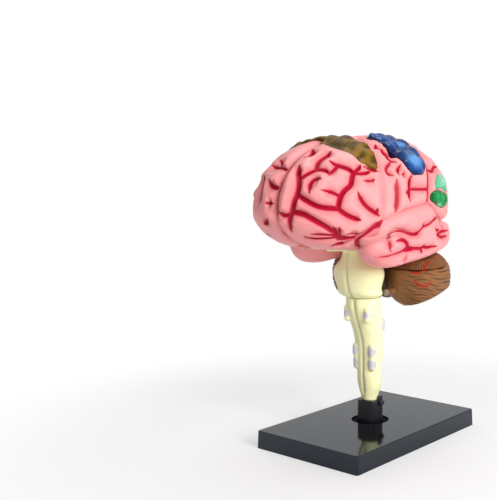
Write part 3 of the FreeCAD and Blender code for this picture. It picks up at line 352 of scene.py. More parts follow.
class Form:
    """Swollen body with a different half size each way from its centre, in millimetres."""

    def __init__(self, centre, front, back, side, top, bottom, roundness, pitch, cover=None):
        self.centre = np.array(centre)
        self.front, self.back, self.side = front, back, side
        self.top, self.bottom, self.roundness = top, bottom, roundness
        self.turn = math.radians(pitch)
        self.cover = cover

    def own_radius(self, rays):
        """Distance from the centre to the form's own skin along each ray."""
        along = rays[:, 0] * math.cos(self.turn) - rays[:, 2] * math.sin(self.turn)
        up = rays[:, 0] * math.sin(self.turn) + rays[:, 2] * math.cos(self.turn)
        reach = (np.abs(along / np.where(along < 0, self.front, self.back)) ** self.roundness
                 + np.abs(rays[:, 1] / self.side) ** self.roundness
                 + np.abs(up / np.where(up > 0, self.top, self.bottom)) ** self.roundness)
        return reach ** (-1 / self.roundness)

    def exit(self, start, rays):
        """How far each ray from a point inside runs before it leaves the form."""
        near, far = np.zeros(len(rays)), np.full(len(rays), 2.0 * self.front)
        for halving in range(HALVINGS):
            middle = (near + far) / 2
            offset = start + rays * middle[:, None] - self.centre
            distance = np.linalg.norm(offset, axis=1)
            inside = distance < self.own_radius(offset / distance[:, None])
            near, far = np.where(inside, middle, near), np.where(inside, far, middle)
        return near

    def radius(self, rays):
        """Distance to the skin, or to that of the form that covers it where that swells further."""
        reach = self.own_radius(rays)
        if self.cover:
            reach = np.maximum(reach, self.cover.exit(self.centre, rays))
        return reach

    def surface(self, directions):
        """Points on the form at (azimuth, elevation) seen from its centre."""
        turn, climb = np.radians(np.array(directions, float)).T
        rays = np.stack([np.cos(climb) * np.cos(turn), np.cos(climb) * np.sin(turn), np.sin(climb)], 1)
        return self.centre + rays * self.radius(rays)[:, None]


def line_on(form, path, open_start, open_end, flip):
    """Even steps along a furrow, and how full its depth is at each of them."""
    turned = [(360 - azimuth, elevation) for azimuth, elevation in path] if flip else path
    corners = form.surface(turned)
    lengths = np.linalg.norm(np.diff(corners, axis=0), axis=1)
    travel = np.concatenate([[0], np.cumsum(lengths)])
    steps = np.arange(0, travel[-1], STEP_ALONG)
    places = np.stack([np.interp(steps, travel, corners[:, axis]) for axis in range(3)], 1)
    reach = int(CORNER_SOFTNESS / STEP_ALONG)
    padded = np.concatenate([np.repeat(places[:1], reach, 0), places, np.repeat(places[-1:], reach, 0)])
    kernel = np.ones(2 * reach + 1) / (2 * reach + 1)
    soft = np.stack([np.convolve(padded[:, axis], kernel, "valid") for axis in range(3)], 1)
    full = np.ones(len(steps))
    fade = min(FADE_LENGTH, FADE_SHARE * travel[-1])
    if open_start:
        full = np.minimum(full, END_DEPTH + (1 - END_DEPTH) * eased(steps / fade))
    if open_end:
        full = np.minimum(full, END_DEPTH + (1 - END_DEPTH) * eased((travel[-1] - steps) / fade))
    return soft, full


def folded(piece, form, furrows, flip):
    """Rolls a lobe's skin over towards its furrows, and notes the red wash in them, with painted shade on
    their shoulders.
    """
    places = points_of(piece)[0]
    offset = places - form.centre
    distance = np.linalg.norm(offset, axis=1)
    rays = offset / distance[:, None]
    full_radius = form.radius(rays)
    skin = form.centre + rays * full_radius[:, None]
    sunk = full_radius - distance
    depth_wanted = np.zeros(len(places))
    wash_and_shade = noted(piece, "wash_and_shade")
    for width, depth, open_start, open_end, tone, path in furrows:
        line, full = line_on(form, path, open_start, open_end, flip)
        low, high = line.min(0) - SHOULDER_FAR, line.max(0) + SHOULDER_FAR
        near = np.flatnonzero(np.all((skin > low) & (skin < high), axis=1)
                              & (sunk < SKIN_DEPTH) & (sunk > -SKIN_SLACK))
        if not len(near):
            continue
        for start in range(0, len(near), POINTS_AT_ONCE):
            part = near[start:start + POINTS_AT_ONCE]
            gaps = np.linalg.norm(skin[part][:, None, :] - line[None, :, :], axis=2)
            closest = gaps.argmin(1)
            away = gaps[np.arange(len(part)), closest]
            here = full[closest]
            shoulder = SHOULDER_BASE + SHOULDER_SHARE * depth
            rest = 1 - np.clip(away / shoulder, 0, 1)
            roll = ROLL_DEPTH * depth * here * (1 - np.sqrt(1 - rest ** 2 * ROLL_SHARPNESS))
            broad = BROAD_ROLL * here * np.clip(1 - away / SHOULDER_FAR, 0, 1) ** 2
            depth_wanted[part] = np.maximum(depth_wanted[part], roll + broad)
            half = width * (END_WIDTH + (1 - END_WIDTH) * here) / 2
            core = eased((WASH_REACH - away / half) / WASH_SOFTNESS)
            # Painted shade on the shoulders, together with the wash fading up them
            blush_and_shade = BLUSH_AND_SHADE * here * np.clip(1 - away / BLUSH_AND_SHADE_FAR, 0, 1) ** BLUSH_AND_SHADE_FALL
            darkening = tone * np.maximum(core, blush_and_shade)
            wash_and_shade[part] = np.maximum(wash_and_shade[part], darkening)
    outer = eased((SKIN_DEPTH - sunk) / SKIN_FADE)
    extra = np.maximum(depth_wanted - np.maximum(sunk, 0), 0) * outer
    set_points(piece, places - rays * extra[:, None])
    note(piece, "wash_and_shade", np.maximum(wash_and_shade * outer, noted(piece, "wash_and_shade")))


# Steps along a furrow, how far its corners are softened, and how it thins to an open end
STEP_ALONG = 0.3
CORNER_SOFTNESS = 1.8
FADE_LENGTH = 3.5
FADE_SHARE = 0.4
END_DEPTH = 0.15
END_WIDTH = 0.3

# The fold's shoulder: a steep roll by the furrow, on a broad and shallow one
ROLL_DEPTH = 1.25
ROLL_SHARPNESS = 0.999
SHOULDER_BASE = 2.6
SHOULDER_SHARE = 1.6
SHOULDER_FAR = 7.0
BROAD_ROLL = 1.6

# The outer skin that is folded; the cavity's wall lies deeper
SKIN_DEPTH = 5.0
SKIN_SLACK = 0.6
SKIN_FADE = 1.5

# The wash: its core in half widths of the furrow, and the blush on the shoulders, which is partly the wash
# fading out and partly painted shade where the folds roll down
WASH_REACH = 1.9
WASH_SOFTNESS = 1.5
BLUSH_AND_SHADE = 0.57
BLUSH_AND_SHADE_FAR = 4.2
BLUSH_AND_SHADE_FALL = 1.5

# Fineness of the skin, steps of the search for a form's far side, and how many points are
# measured against a furrow at once
LOBE_VOXEL = 0.5
LOBE_SMOOTHING = 1
HALVINGS = 18
POINTS_AT_ONCE = 4000

cerebrum = Form(centre=(-5.7, 0.0, 105.9), front=55.8, back=40.5, side=34.5, top=31.6, bottom=17.2,
                roundness=2.33, pitch=-2.3)

# A furrow is (width, depth, starts open, ends open, tone of the wash, path). Its path is a
# list of directions (azimuth, elevation) from the form's centre, as on the left half, and
# is turned over for the right one. Seams are thin furrows that round the lobes' edges.
LATERAL_SEAM = [(214, -30), (215, -16.5), (223, -10.5), (230, -5.3), (250, 0.5), (274.5, 4.5),
                (281, 2), (285.2, -0.5), (289, -4), (297, -6.6), (309, -9.2), (325, -11.5), (352, -14)]
CENTRAL_SEAM = [(230, -5.3), (230, 8), (230.3, 24), (230, 35), (224, 50), (206, 64)]
REAR_SEAM = [(274.5, 4.5), (277, 14.5), (281.5, 23), (287.3, 31), (300, 52)]
MIDLINE_STEP = 10
MIDLINE = ([(180, level) for level in range(-30, 90, MIDLINE_STEP)]
           + [(360, level) for level in range(80, -30, -MIDLINE_STEP)])
# The wide first seam, at the front of the side fissure, and the midline seam are partly wash and partly
# painted shade of the shadowed lip and of the cleft between the halves
SEAMS = [(2.3, 1.7, False, True, 1.0, LATERAL_SEAM[:4]), (0.8, 0.5, False, False, 0.55, LATERAL_SEAM),
         (0.7, 0.5, False, False, 0.35, CENTRAL_SEAM), (1.3, 1.0, False, False, 0.9, REAR_SEAM),
         (1.6, 1.9, False, False, 0.75, MIDLINE)]

# Inner flanks almost touch their twins, because the pegs press the halves together
MIDLINE_REACH = 0.6
MIDLINE_GAP = 0.04

# Behind its front the right half can't be seen, so its furrows there are made up in the
# same style
FURROWS = {}
FURROWS["frontal_left"] = [
    (2.3, 2.2, True, True, 1.0, [(187.3, 21), (186.5, 18), (188.3, 14.8), (189.8, 11),
                                 (189.9, 7.3), (188.6, 3.5), (188.1, 0), (186.6, -2.6),
                                 (185.7, -9.5)]),
    (1.6, 1.5, False, True, 1.0, [(187.6, -1.2), (184.5, -2.1), (182.4, -1.5), (181.2, 0.5)]),
    (2.3, 2.1, False, True, 1.0, [(188.3, -0.3), (193, -1), (197.5, -3.8), (201.5, -6.5),
                                  (204.5, -9.7), (206.8, -12.8)]),
    (1.2, 1.2, True, False, 1.0, [(205, -6.3), (205.6, -8.5), (205.9, -10.9)]),
    (1.5, 1.4, True, False, 1.0, [(208.2, -6.8), (206.9, -9.8), (206.6, -12.4)]),
    (1.6, 1.5, False, True, 1.0, [(206.6, -12.4), (209.5, -13.9), (212.5, -14.6)]),
    (1.8, 1.7, False, True, 1.0, [(189.4, 14.2), (193.3, 17.4), (195.5, 19.1), (199, 19.4),
                                  (201.3, 18.6), (202.8, 16)]),
    (1.9, 1.9, True, False, 1.0, [(199.5, 32.2), (195.8, 27), (194.4, 23.5), (195.3, 19.2)]),
    (2.3, 2.1, True, False, 1.0, [(200.8, 24.5), (204, 22.8), (208, 22.3), (212, 21.2),
                                  (213.6, 19.4)]),
    (1.5, 1.5, False, False, 1.0, [(205.2, 22.6), (204.2, 20.2), (202.3, 17.5)]),
    (1.6, 1.5, False, True, 1.0, [(213.4, 19.7), (216, 22.3), (218, 25)]),
    (1.6, 1.5, False, True, 1.0, [(213.2, 19.2), (218.5, 19.9), (221.5, 21), (224.3, 22.1)]),
    (2.1, 2.0, False, False, 1.0, [(213.6, 19.6), (212.7, 15.5), (213, 12.7), (210, 10),
                                   (208.2, 7.2), (207.6, 4), (207.1, 1)]),
    (1.3, 1.3, True, False, 1.0, [(200.3, 9.1), (203.5, 8.8), (208.1, 6.8)]),
    (2.0, 2.0, False, False, 1.0, [(189.6, 6.9), (193.5, 4.8), (197, 2.8), (200.5, 1.6),
                                   (207.3, 1.1)]),
    (1.9, 1.8, False, True, 1.0, [(206.8, 1.4), (210.5, -1.6), (214, -3.5), (218.3, -4.6)]),
    (1.6, 1.6, True, True, 1.0, [(196.3, 7.2), (194.5, 10.2), (195, 12.8), (197.2, 14.7),
                                 (200.3, 14)]),
    (1.7, 1.6, True, True, 1.0, [(216.2, 9.8), (217.3, 6), (220.5, 2), (224.5, -0.5),
                                 (228.6, -3.3)]),
    (1.3, 1.2, True, False, 1.0, [(226.8, 2), (226.9, 0), (226.3, -1.7)]),
    (1.1, 1.0, True, True, 0.85, [(218.3, 15.2), (222.5, 16.3), (226.5, 17)]),
    (1.3, 1.2, True, True, 0.95, [(218.3, 24), (224.2, 23.6), (229.6, 22.6)]),
    (2.2, 1.7, True, True, 1.0, [(185.8, 33.5), (187.5, 29.5), (186.2, 25.3)]),
    (1.4, 1.3, True, False, 1.0, [(194.3, -10), (199.5, -10.8), (203, -11.4), (206.5, -12.7)]),
    (1.7, 1.5, True, False, 1.0, [(190.6, -11), (192, -13), (198, -13.4), (207, -13)]),
    (1.2, 1.2, True, True, 0.9, [(210.4, -11.2), (214, -12), (217.5, -12)]),
    (2.6, 1.8, False, True, 1.0, [(205.5, -14.6), (211, -14.8), (216, -14), (221.5, -11.4),
                                  (226, -8), (229.3, -5.9)]),
    (3.6, 2.2, True, True, 0.85, [(200, -19.5), (206, -18.5), (212, -18), (217.5, -16)]),
]
FURROWS["frontal_right"] = [
    (1.2, 1.1, True, True, 1.0, [(194.7, 16.3), (194, 13.1), (191.4, 8.2), (190.4, 4.7),
                                 (190.1, 1.2)]),
    (1.9, 1.7, True, False, 1.0, [(187, 13.8), (187.6, 12.2), (185.9, 10.6), (183.4, 9.8),
                                  (181, 9.6)]),
    (1.6, 1.4, True, True, 1.0, [(185.3, 3.1), (183.2, 3.1), (181.2, 3)]),
    (2.2, 1.7, True, True, 1.0, [(189.5, -6.2), (187.5, -5.3), (184.3, -3.5)]),
    (1.4, 1.3, True, False, 1.0, [(194.5, 21.5), (190.5, 19.8), (186.1, 19.9), (183.5, 19.4),
                                  (181, 18.5)]),
    (1.1, 1, False, True, 1.0, [(186.3, 19.9), (188.2, 22.3), (191.7, 25.1)]),
    (2.3, 2.1, True, True, 1.0, [(200, 31), (201.5, 22), (200.5, 14), (199.5, 8), (202, 1),
                                 (206, -6.5)]),
    (2.0, 2.0, False, True, 1.0, [(200.5, 14), (206, 11.5), (212, 13), (219, 10.5), (225, 12.5)]),
    (1.9, 1.8, False, True, 1.0, [(201.2, 3), (208, 2), (214, -1.5), (221, -4)]),
    (1.6, 1.6, True, True, 1.0, [(205.5, 25), (208.5, 22), (214, 21.5), (218, 24)]),
    (1.6, 1.5, True, False, 1.0, [(222.5, 22.5), (220.5, 17), (219.3, 10.5)]),
    (1.5, 1.5, True, True, 1.0, [(206.5, 5.8), (210, 8), (214, 6.5), (213.3, 3.3)]),
    (1.5, 1.4, True, True, 1.0, [(225.8, 7.5), (222, 3.5), (224, -1)]),
    (1.5, 1.4, False, True, 1.0, [(204.8, -4.5), (211, -7.5), (217, -8.8)]),
    (1.6, 1.5, True, True, 1.0, [(193, -11.5), (199, -13.5), (206, -12.5)]),
    (1.4, 1.4, True, False, 1.0, [(207.8, 18.5), (211.5, 17), (212.5, 13.2)]),
]
FURROWS["parietal_left"] = [
    (3.2, 1.6, True, True, 0.72, [(241.3, 19.3), (241.5, 12), (240.8, 5), (239, -2)]),
    (1.8, 1.6, True, True, 0.95, [(257.8, 24.3), (255.2, 19), (254, 13.5), (253, 8.5),
                                  (251.7, 4.7)]),
    (1.2, 1.1, False, True, 0.85, [(254, 13.4), (250.5, 11.3), (247.5, 9.9)]),
    (1.2, 1.2, False, False, 0.9, [(254.2, 14.3), (262, 14.6), (270, 14.6), (276.6, 14.6)]),
    (2.0, 1.5, True, True, 1.0, [(231.2, 49), (232.3, 45), (233.5, 41.5)]),
    (2.0, 1.6, True, True, 1.0, [(235.5, 45.5), (237.8, 40.5), (240.3, 34.5)]),
    (1.4, 1.3, True, True, 1.0, [(236.2, 39.6), (238.6, 36.5), (242.9, 32.9), (246.2, 31.4)]),
    (1.2, 1.1, True, True, 0.9, [(237.2, 43.3), (240.6, 40), (244.8, 37.2), (248.2, 35.6)]),
    (1.5, 1.3, True, True, 0.8, [(241.3, 33), (237, 29), (234, 25), (236, 22.2), (240.5, 21.2)]),
    (1.5, 1.4, True, True, 0.9, [(243.8, 21.5), (245, 25), (247.3, 29.5), (249.6, 31)]),
    (1.3, 1.2, True, True, 0.8, [(251.4, 27), (250.6, 23.5), (247.3, 20.8)]),
    (1.5, 1.4, True, True, 1.0, [(288, 50), (290.5, 57), (284, 66)]),
    (1.4, 1.3, True, True, 1.0, [(229, 56), (237, 68), (256, 73.5)]),
]
FURROWS["parietal_right"] = FURROWS["parietal_left"]
FURROWS["occipital_left"] = [
    (1.6, 1.5, False, True, 1.0, [(287.2, 28.7), (292, 26.9), (298, 27.6), (306, 29.3),
                                  (313, 29.5), (321, 28)]),
    (1.7, 1.6, True, True, 1.0, [(309, -1), (316, 4), (325, 3), (336, 8)]),
    (1.7, 1.6, True, True, 1.0, [(322, 18), (332, 20), (342, 17), (351, 20)]),
    (1.6, 1.5, True, True, 1.0, [(300, 44), (315, 40), (332, 42), (348, 38)]),
    (1.5, 1.4, True, False, 1.0, [(316, 12.5), (320.5, 8), (321, 3.6)]),
    (1.5, 1.4, True, False, 1.0, [(333, 33), (334.5, 27), (333, 19.8)]),
    (1.4, 1.3, True, False, 1.0, [(314, 51), (320, 46), (322, 40.8)]),
    (1.4, 1.3, True, True, 1.0, [(338, 49), (345, 55), (336, 62)]),
    (1.4, 1.3, True, True, 1.0, [(342, 5), (349, 8.5), (354, 13)]),
    (1.3, 1.2, True, True, 0.9, [(303, 36.5), (310, 34.5), (318, 36)]),
    (1.4, 1.3, False, True, 1.0, [(341.5, 17.2), (344, 26), (340, 32)]),
]
FURROWS["occipital_right"] = FURROWS["occipital_left"]

for name in ("frontal", "parietal", "occipital"):
    for side in ("left", "right"):
        body = name + "_" + side
        piece = remeshed(name + "_lobe_" + side, body + "_folds", LOBE_VOXEL, LOBE_SMOOTHING)
        folded(piece, cerebrum, FURROWS[body] + SEAMS, side == "right")
        places = points_of(piece)[0]
        flank = np.abs(places[:, 1]) < MIDLINE_REACH
        places[flank, 1] = math.copysign(MIDLINE_GAP, places[:, 1].mean())
        set_points(piece, places)
        piece.data.materials.append(pink_pvc)
        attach(piece, body)
        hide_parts(name + "_lobe_" + side)


# Temporal lobes: the same pink PVC, one shell for each side, shaped like a thumb that
# points forward. Each hooks under its half along the long side seam, and its skin runs
# on in the swelling of the half above it.

temporals = {side: Form(centre=(2.8, beside, 91.3), front=32.2, back=24.9, side=12.7, top=13.5,
                        bottom=8.0, roundness=2.3, pitch=-7.7, cover=cerebrum)
             for side, beside in (("left", -19.5), ("right", 19.5))}
SIDE_SEAMS = SEAMS[:2]
TEMPORAL_FURROWS = [
    (1.5, 1.6, True, False, 0.8, [(199, -6.3), (196.4, -1), (196, 3.5), (198, 8.5), (203, 12.8)]),
    (1.7, 1.7, False, False, 1.0, [(203, 12.8), (208, 14.6), (214, 14.6), (221, 15.6), (228, 17.5),
                                   (236.3, 23.3), (239, 27.3)]),
    (1.8, 1.6, True, False, 1.0, [(202.3, 3.7), (204.5, 5.8), (208.3, 6.3), (211, 3.8), (213, -1),
                                  (213.5, -5.6)]),
    (1.0, 1.1, True, False, 0.85, [(185, -8.8), (193.5, -9.6), (204, -7.8), (211, -5.4)]),
    (2.4, 1.9, True, False, 1.0, [(207, -6.6), (213, -5.2), (219, -6.2)]),
    (1.6, 1.6, False, False, 1.0, [(217, -6), (222, -6.5), (230, -7.8), (237, -10.3),
                                   (243.5, -8.3)]),
    (1.6, 1.6, False, True, 0.95, [(243.5, -8.3), (248.5, -6), (252.5, -9.8), (264, -11.3),
                                   (271, -12), (280, -9.5), (289.5, -7.2)]),
    (1.5, 1.5, False, True, 1.0, [(248.5, -6.4), (245.9, -4.6)]),
    (1.3, 1.2, False, True, 0.95, [(237, -10), (240.5, -15), (244.9, -20.2)]),
    (0.8, 0.8, False, True, 0.5, [(211.6, -5.8), (211, -12), (209.5, -18.5), (206, -25.3)]),
    (1.8, 1.5, True, True, 0.95, [(283, 27), (290, 25.5), (297, 23.5), (306, 21)]),
    (1.4, 1.3, True, True, 1.0, [(287.5, 4), (290.5, 9.3), (295, 12.5), (302, 14.4), (311, 17.2),
                                 (320, 16.5), (329, 13.5)]),
    (1.4, 1.3, False, True, 1.0, [(301.5, 14.2), (308, 9), (316, 7), (325, 7.7)]),
    (1.6, 1.5, False, False, 0.95, [(239, 27.3), (243, 29), (253.5, 31.7), (260, 33.8),
                                    (267, 36.6), (273, 39), (280.1, 39.9)]),
    (1.2, 1.1, True, False, 0.8, [(237.6, 30.6), (239.6, 28)]),
    (1.0, 1.0, False, True, 0.7, [(280.1, 39.9), (288.2, 40.9), (300, 37), (313.4, 32.7),
                                  (319, 24), (321.8, 16.7)]),
    (1.9, 1.3, True, True, 0.85, [(199, 16.2), (196.6, 13.3), (193.5, 10.9), (190.5, 9.2),
                                  (186.9, 6)]),
    # Broad and faint: partly wash, partly painted shade on the lobe's upper front shoulder
    (5.5, 1.0, True, True, 0.42, [(196.5, 12), (193.5, 8.6), (190.3, 5.8), (187, 2.5)]),
]
for side, form in temporals.items():
    piece = remeshed("temporal_lobe_" + side, "temporal_" + side + "_folds", LOBE_VOXEL, LOBE_SMOOTHING)
    folded(piece, form, TEMPORAL_FURROWS, side == "right")
    folded(piece, cerebrum, SIDE_SEAMS, side == "right")
    piece.data.materials.append(pink_pvc)
    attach(piece, "temporal_" + side)
    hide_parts("temporal_lobe_" + side)


# Cerebellum: two brown PVC shells that close on each other and peg into the pons.
# Fine leaves fan over them, with painted shade in their creases, and a few red vessels
# are drawn on by brush.

LEAF_VOXEL = 0.4
LEAF_RIPPLE = {"cerebellum_upper": 0.55, "cerebellum_lower": 0.5}
LEAF_SMOOTHING = {"cerebellum_upper": 1, "cerebellum_lower": 8}
VALLEY_SHARPNESS = 2.6
# Strength of the painted shade in the leaves' creases
LEAF_TONE = 0.9
PLAIN_MIDDLE = 2.0
MIDDLE_FADE = 3.0

# Upper leaves: spokes round a hub on each side, so many degrees apart
UPPER_HUB = (14.6, 16.2)
UPPER_LEAF_TURN = 5.0
UPPER_WAVE = 1.5
UPPER_WAVE_RATE = 0.5
HUB_HALF = 3.0

# Lower leaves: a slanting fan from a far point (across, up), broken into dashes, where
# across is measured on the slant to the rear and the side
SLANT = (0.62, 0.785)
LOWER_FAN = (-30.0, 80.0)
LOWER_LEAF_TURN = 1.5
LOWER_WAVES = ((0.35, 0.45), (0.2, 0.8))
DASH_SHARE = 0.4
DASH_RATE = 0.5
DASH_SHIFT = 2.4
LOWER_START = 11.0
LOWER_FADE = 8.0

# The front of the lower shell: bare prongs with grey tips, painted shadow over the front, a square corner
PRONG_ROOT = -1.5
PRONG_REACH = -3.0
PRONG_TIP = 3.0
TIP_TONE = 0.8
FRONT_PAINTED_SHADOW = 0.65
SHADOW_END = 14.0
SHADOW_FADE = 9.0
CORNER_FROM = (3.5, 7.0, 69.0)
CORNER_FADE = (6.0, 4.0, 6.0)
CORNER_PUSH = 3.8
CORNER_WAY = (-0.95, 0, -0.12)

# The wedge under the lower shell: height at its middle (x, y), rise to the rear and the side
UNDERSIDE = (61.1, 0.35, 0.36)
UNDERSIDE_MIDDLE = (12.2, 13.1)
WEDGE_SOFTNESS = 2.0

# Vessels: brushed lines on the left, with half their width
VESSEL_HALF = 0.3
VESSEL_EDGE = 2.4
VESSEL_TONE = 0.85
VESSEL_SIDE = -18.0
VESSEL_LOWEST = 68.0
VESSELS = [
    [(2.7, -21.1, 77.7), (3.3, -23.0, 77.4), (3.7, -24.4, 77.8), (5.2, -25.8, 80.1), (8.1, -26.6, 82.6)],
    [(5.2, -25.8, 80.1), (5.8, -27.0, 78.4)],
    [(2.9, -22.6, 73.7), (3.4, -23.8, 72.8), (4.1, -25.0, 72.1), (5.6, -27.2, 71.8), (6.5, -28.2, 73.4)],
]

# PVC: chestnut with a low sheen, and painted shade that is nearly black in the creases
brown_pvc, shader = new_finish("brown moulded PVC", 1.53, 0.36)
shader.inputs["Specular IOR Level"].default_value = 0.3
place = add(brown_pvc, "ShaderNodeTexCoord")
cloud = add(brown_pvc, "ShaderNodeTexNoise", {},
            {"Vector": place.outputs["Object"], "Scale": PER_METRE / PIGMENT_CLOUD, "Detail": 4.0})
ground = add(brown_pvc, "ShaderNodeMix", {"data_type": "RGBA"},
             {SHARE: cloud.outputs["Fac"], FROM: linear("744828"), TO: linear("A06D40")})
# Painted shade in the leaves' creases and over the lower shell's front
painted_shade = add(brown_pvc, "ShaderNodeAttribute", {"attribute_name": "painted_shade"})
creased = add(brown_pvc, "ShaderNodeMix", {"data_type": "RGBA"},
              {SHARE: painted_shade.outputs["Fac"], FROM: ground.outputs[MIXED], TO: linear("2B170C")})
vessel = add(brown_pvc, "ShaderNodeAttribute", {"attribute_name": "vessel"})
veined = add(brown_pvc, "ShaderNodeMix", {"data_type": "RGBA"},
             {SHARE: vessel.outputs["Fac"], FROM: creased.outputs[MIXED], TO: linear("A31814")})
wax = add(brown_pvc, "ShaderNodeTexNoise", {},
          {"Vector": place.outputs["Object"], "Scale": PER_METRE / WAX_GRAIN, "Detail": 2.0})
wax_bump = add(brown_pvc, "ShaderNodeBump", {}, {"Height": wax.outputs["Fac"], "Strength": 0.2,
                                                 "Distance": 0.0003})
tip = add(brown_pvc, "ShaderNodeAttribute", {"attribute_name": "tip"})
tipped = add(brown_pvc, "ShaderNodeMix", {"data_type": "RGBA"},
             {SHARE: tip.outputs["Fac"], FROM: veined.outputs[MIXED], TO: linear("8C8880")})
feed(brown_pvc, shader, Base_Color=tipped.outputs[MIXED], Normal=wax_bump.outputs["Normal"])

for node in ("cerebellum_upper", "cerebellum_lower"):
    piece = remeshed(node, node + "_leaves", LEAF_VOXEL, LEAF_SMOOTHING[node])
    places, normals = points_of(piece)
    x, y, z = places.T
    beside = np.abs(y)
    lower = node == "cerebellum_lower"
    if lower:
        across = SLANT[0] * x + SLANT[1] * beside
        turn = np.degrees(np.arctan2(z - LOWER_FAN[1], across - LOWER_FAN[0]))
        for (height, rate), way in zip(LOWER_WAVES, (across, y)):
            turn += height * np.sin(way * rate)
        phase = turn / LOWER_LEAF_TURN
        dashes = 1 - DASH_SHARE + DASH_SHARE * np.sin(across * DASH_RATE + DASH_SHIFT * np.round(phase))
        outside = eased((across - LOWER_START) / LOWER_FADE) * dashes * (x > PRONG_ROOT)
    else:
        from_hub = np.hypot(x - UPPER_HUB[0], beside - UPPER_HUB[1])
        turn = np.degrees(np.arctan2(beside - UPPER_HUB[1], x - UPPER_HUB[0]))
        phase = (turn + UPPER_WAVE * np.sin(from_hub * UPPER_WAVE_RATE)) / UPPER_LEAF_TURN
        outside = eased(from_hub / HUB_HALF - 1)
    valley = np.clip(1 - VALLEY_SHARPNESS * np.abs(phase - np.round(phase)), 0, 1)
    outside = outside * eased((beside - PLAIN_MIDDLE) / MIDDLE_FADE)
    moved = places - normals * (LEAF_RIPPLE[node] * valley * outside)[:, None]
    # Painted shade in the leaves' creases
    darkening = LEAF_TONE * valley * outside
    if lower:
        inward = np.stack([CORNER_FROM[0] - x, beside - CORNER_FROM[1], CORNER_FROM[2] - z], 1)
        corner = eased(inward / np.array(CORNER_FADE)).prod(1)
        moved += corner[:, None] * CORNER_PUSH * np.array(CORNER_WAY)
        wedge = (UNDERSIDE[0] + UNDERSIDE[1] * (x - UNDERSIDE_MIDDLE[0])
                 + UNDERSIDE[2] * (beside - UNDERSIDE_MIDDLE[1]))
        short = np.maximum(wedge + WEDGE_SOFTNESS - moved[:, 2], 0)
        moved[:, 2] += short - WEDGE_SOFTNESS * (1 - np.exp(-short / WEDGE_SOFTNESS))
        # Painted shadow over the front of the lower shell
        darkening = np.maximum(darkening, FRONT_PAINTED_SHADOW * eased((SHADOW_END - across) / SHADOW_FADE))
    set_points(piece, moved)
    note(piece, "painted_shade", darkening)
    note(piece, "tip", TIP_TONE * eased(x.min() + PRONG_TIP - x) * (x.min() < PRONG_REACH))
    red = np.zeros(len(places))
    for path in VESSELS:
        corners = np.array(path)
        travel = np.concatenate([[0], np.cumsum(np.linalg.norm(np.diff(corners, axis=0), axis=1))])
        steps = np.arange(0, travel[-1], STEP_ALONG)
        line = np.stack([np.interp(steps, travel, corners[:, axis]) for axis in range(3)], 1)
        near = np.flatnonzero((y < VESSEL_SIDE) & (z > VESSEL_LOWEST))
        gaps = np.linalg.norm(places[near][:, None, :] - line[None, :, :], axis=2).min(1)
        red[near] = np.maximum(red[near], eased(VESSEL_EDGE - gaps / VESSEL_HALF))
    note(piece, "vessel", red * VESSEL_TONE)
    piece.data.materials.append(brown_pvc)
    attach(piece, "cerebellum")
    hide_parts(node)


# Coloured areas: small clear or tinted castings let into recesses of the lobes.
# The premotor area is opaque olive and crumpled like leather, the motor area clear
# blue and knobbly, and the visual and speech areas are clear mint and green.

AREA_VOXEL = 0.35
AREA_SMOOTHING = 2

# Creases of the olive hide: three sets of folds (direction, pitch, start), and how they
# bend along each axis (rate, start)
CRUMPLE_DEPTH = 1.2
CRUMPLE_FOLDS = [((0.75, 0.25, -0.6), 6.3, 0.1), ((-0.35, 0.85, 0.4), 5.4, 0.37),
                 ((0.4, 0.5, 0.8), 7.7, 0.62)]
CRUMPLE_BENDS = [(0.42, 0), (0.37, 1.3), (0.5, 0.7)]
BEND_SHARE = 0.16


def crumpled(places):
    """Height from 0 to 1 of leather creased along three sets of bent folds."""
    bend = np.zeros(len(places))
    for axis, (rate, start) in enumerate(CRUMPLE_BENDS):
        bend += np.sin(places[:, axis] * rate + start)
    height = np.zeros(len(places))
    for direction, pitch, start in CRUMPLE_FOLDS:
        phase = places @ np.array(direction) / pitch + start + BEND_SHARE * bend
        height += 2 * np.abs(phase - np.floor(phase) - 0.5)
    return height / len(CRUMPLE_FOLDS)


def depth_colour(finish, low, high, pale):
    """Colour that goes from low in the creases to high on the crests, which is painted shade, and to pale
    where it is thin.
    """
    relief_shade = add(finish, "ShaderNodeAttribute", {"attribute_name": "relief_shade"})
    risen = add(finish, "ShaderNodeMix", {"data_type": "RGBA"},
                {SHARE: relief_shade.outputs["Fac"], FROM: linear(low), TO: linear(high)})
    thin = add(finish, "ShaderNodeAttribute", {"attribute_name": "thin"})
    return add(finish, "ShaderNodeMix", {"data_type": "RGBA"},
               {SHARE: thin.outputs["Fac"], FROM: risen.outputs[MIXED], TO: linear(pale)})


# PVC: opaque golden olive, matt like hide, with painted shade in its creases
olive_pvc, shader = new_finish("olive moulded PVC", 1.53, 0.45)
shader.inputs["Specular IOR Level"].default_value = 0.2
tone = depth_colour(olive_pvc, "46350C", "7F5E1A", "7F5E1A")
place = add(olive_pvc, "ShaderNodeTexCoord")
hide = add(olive_pvc, "ShaderNodeTexNoise", {},
           {"Vector": place.outputs["Object"], "Scale": PER_METRE / WAX_GRAIN, "Detail": 3.0})
hide_bump = add(olive_pvc, "ShaderNodeBump", {}, {"Height": hide.outputs["Fac"], "Strength": 0.3,
                                                  "Distance": 0.0004})
feed(olive_pvc, shader, Base_Color=tone.outputs[MIXED], Normal=hide_bump.outputs["Normal"])
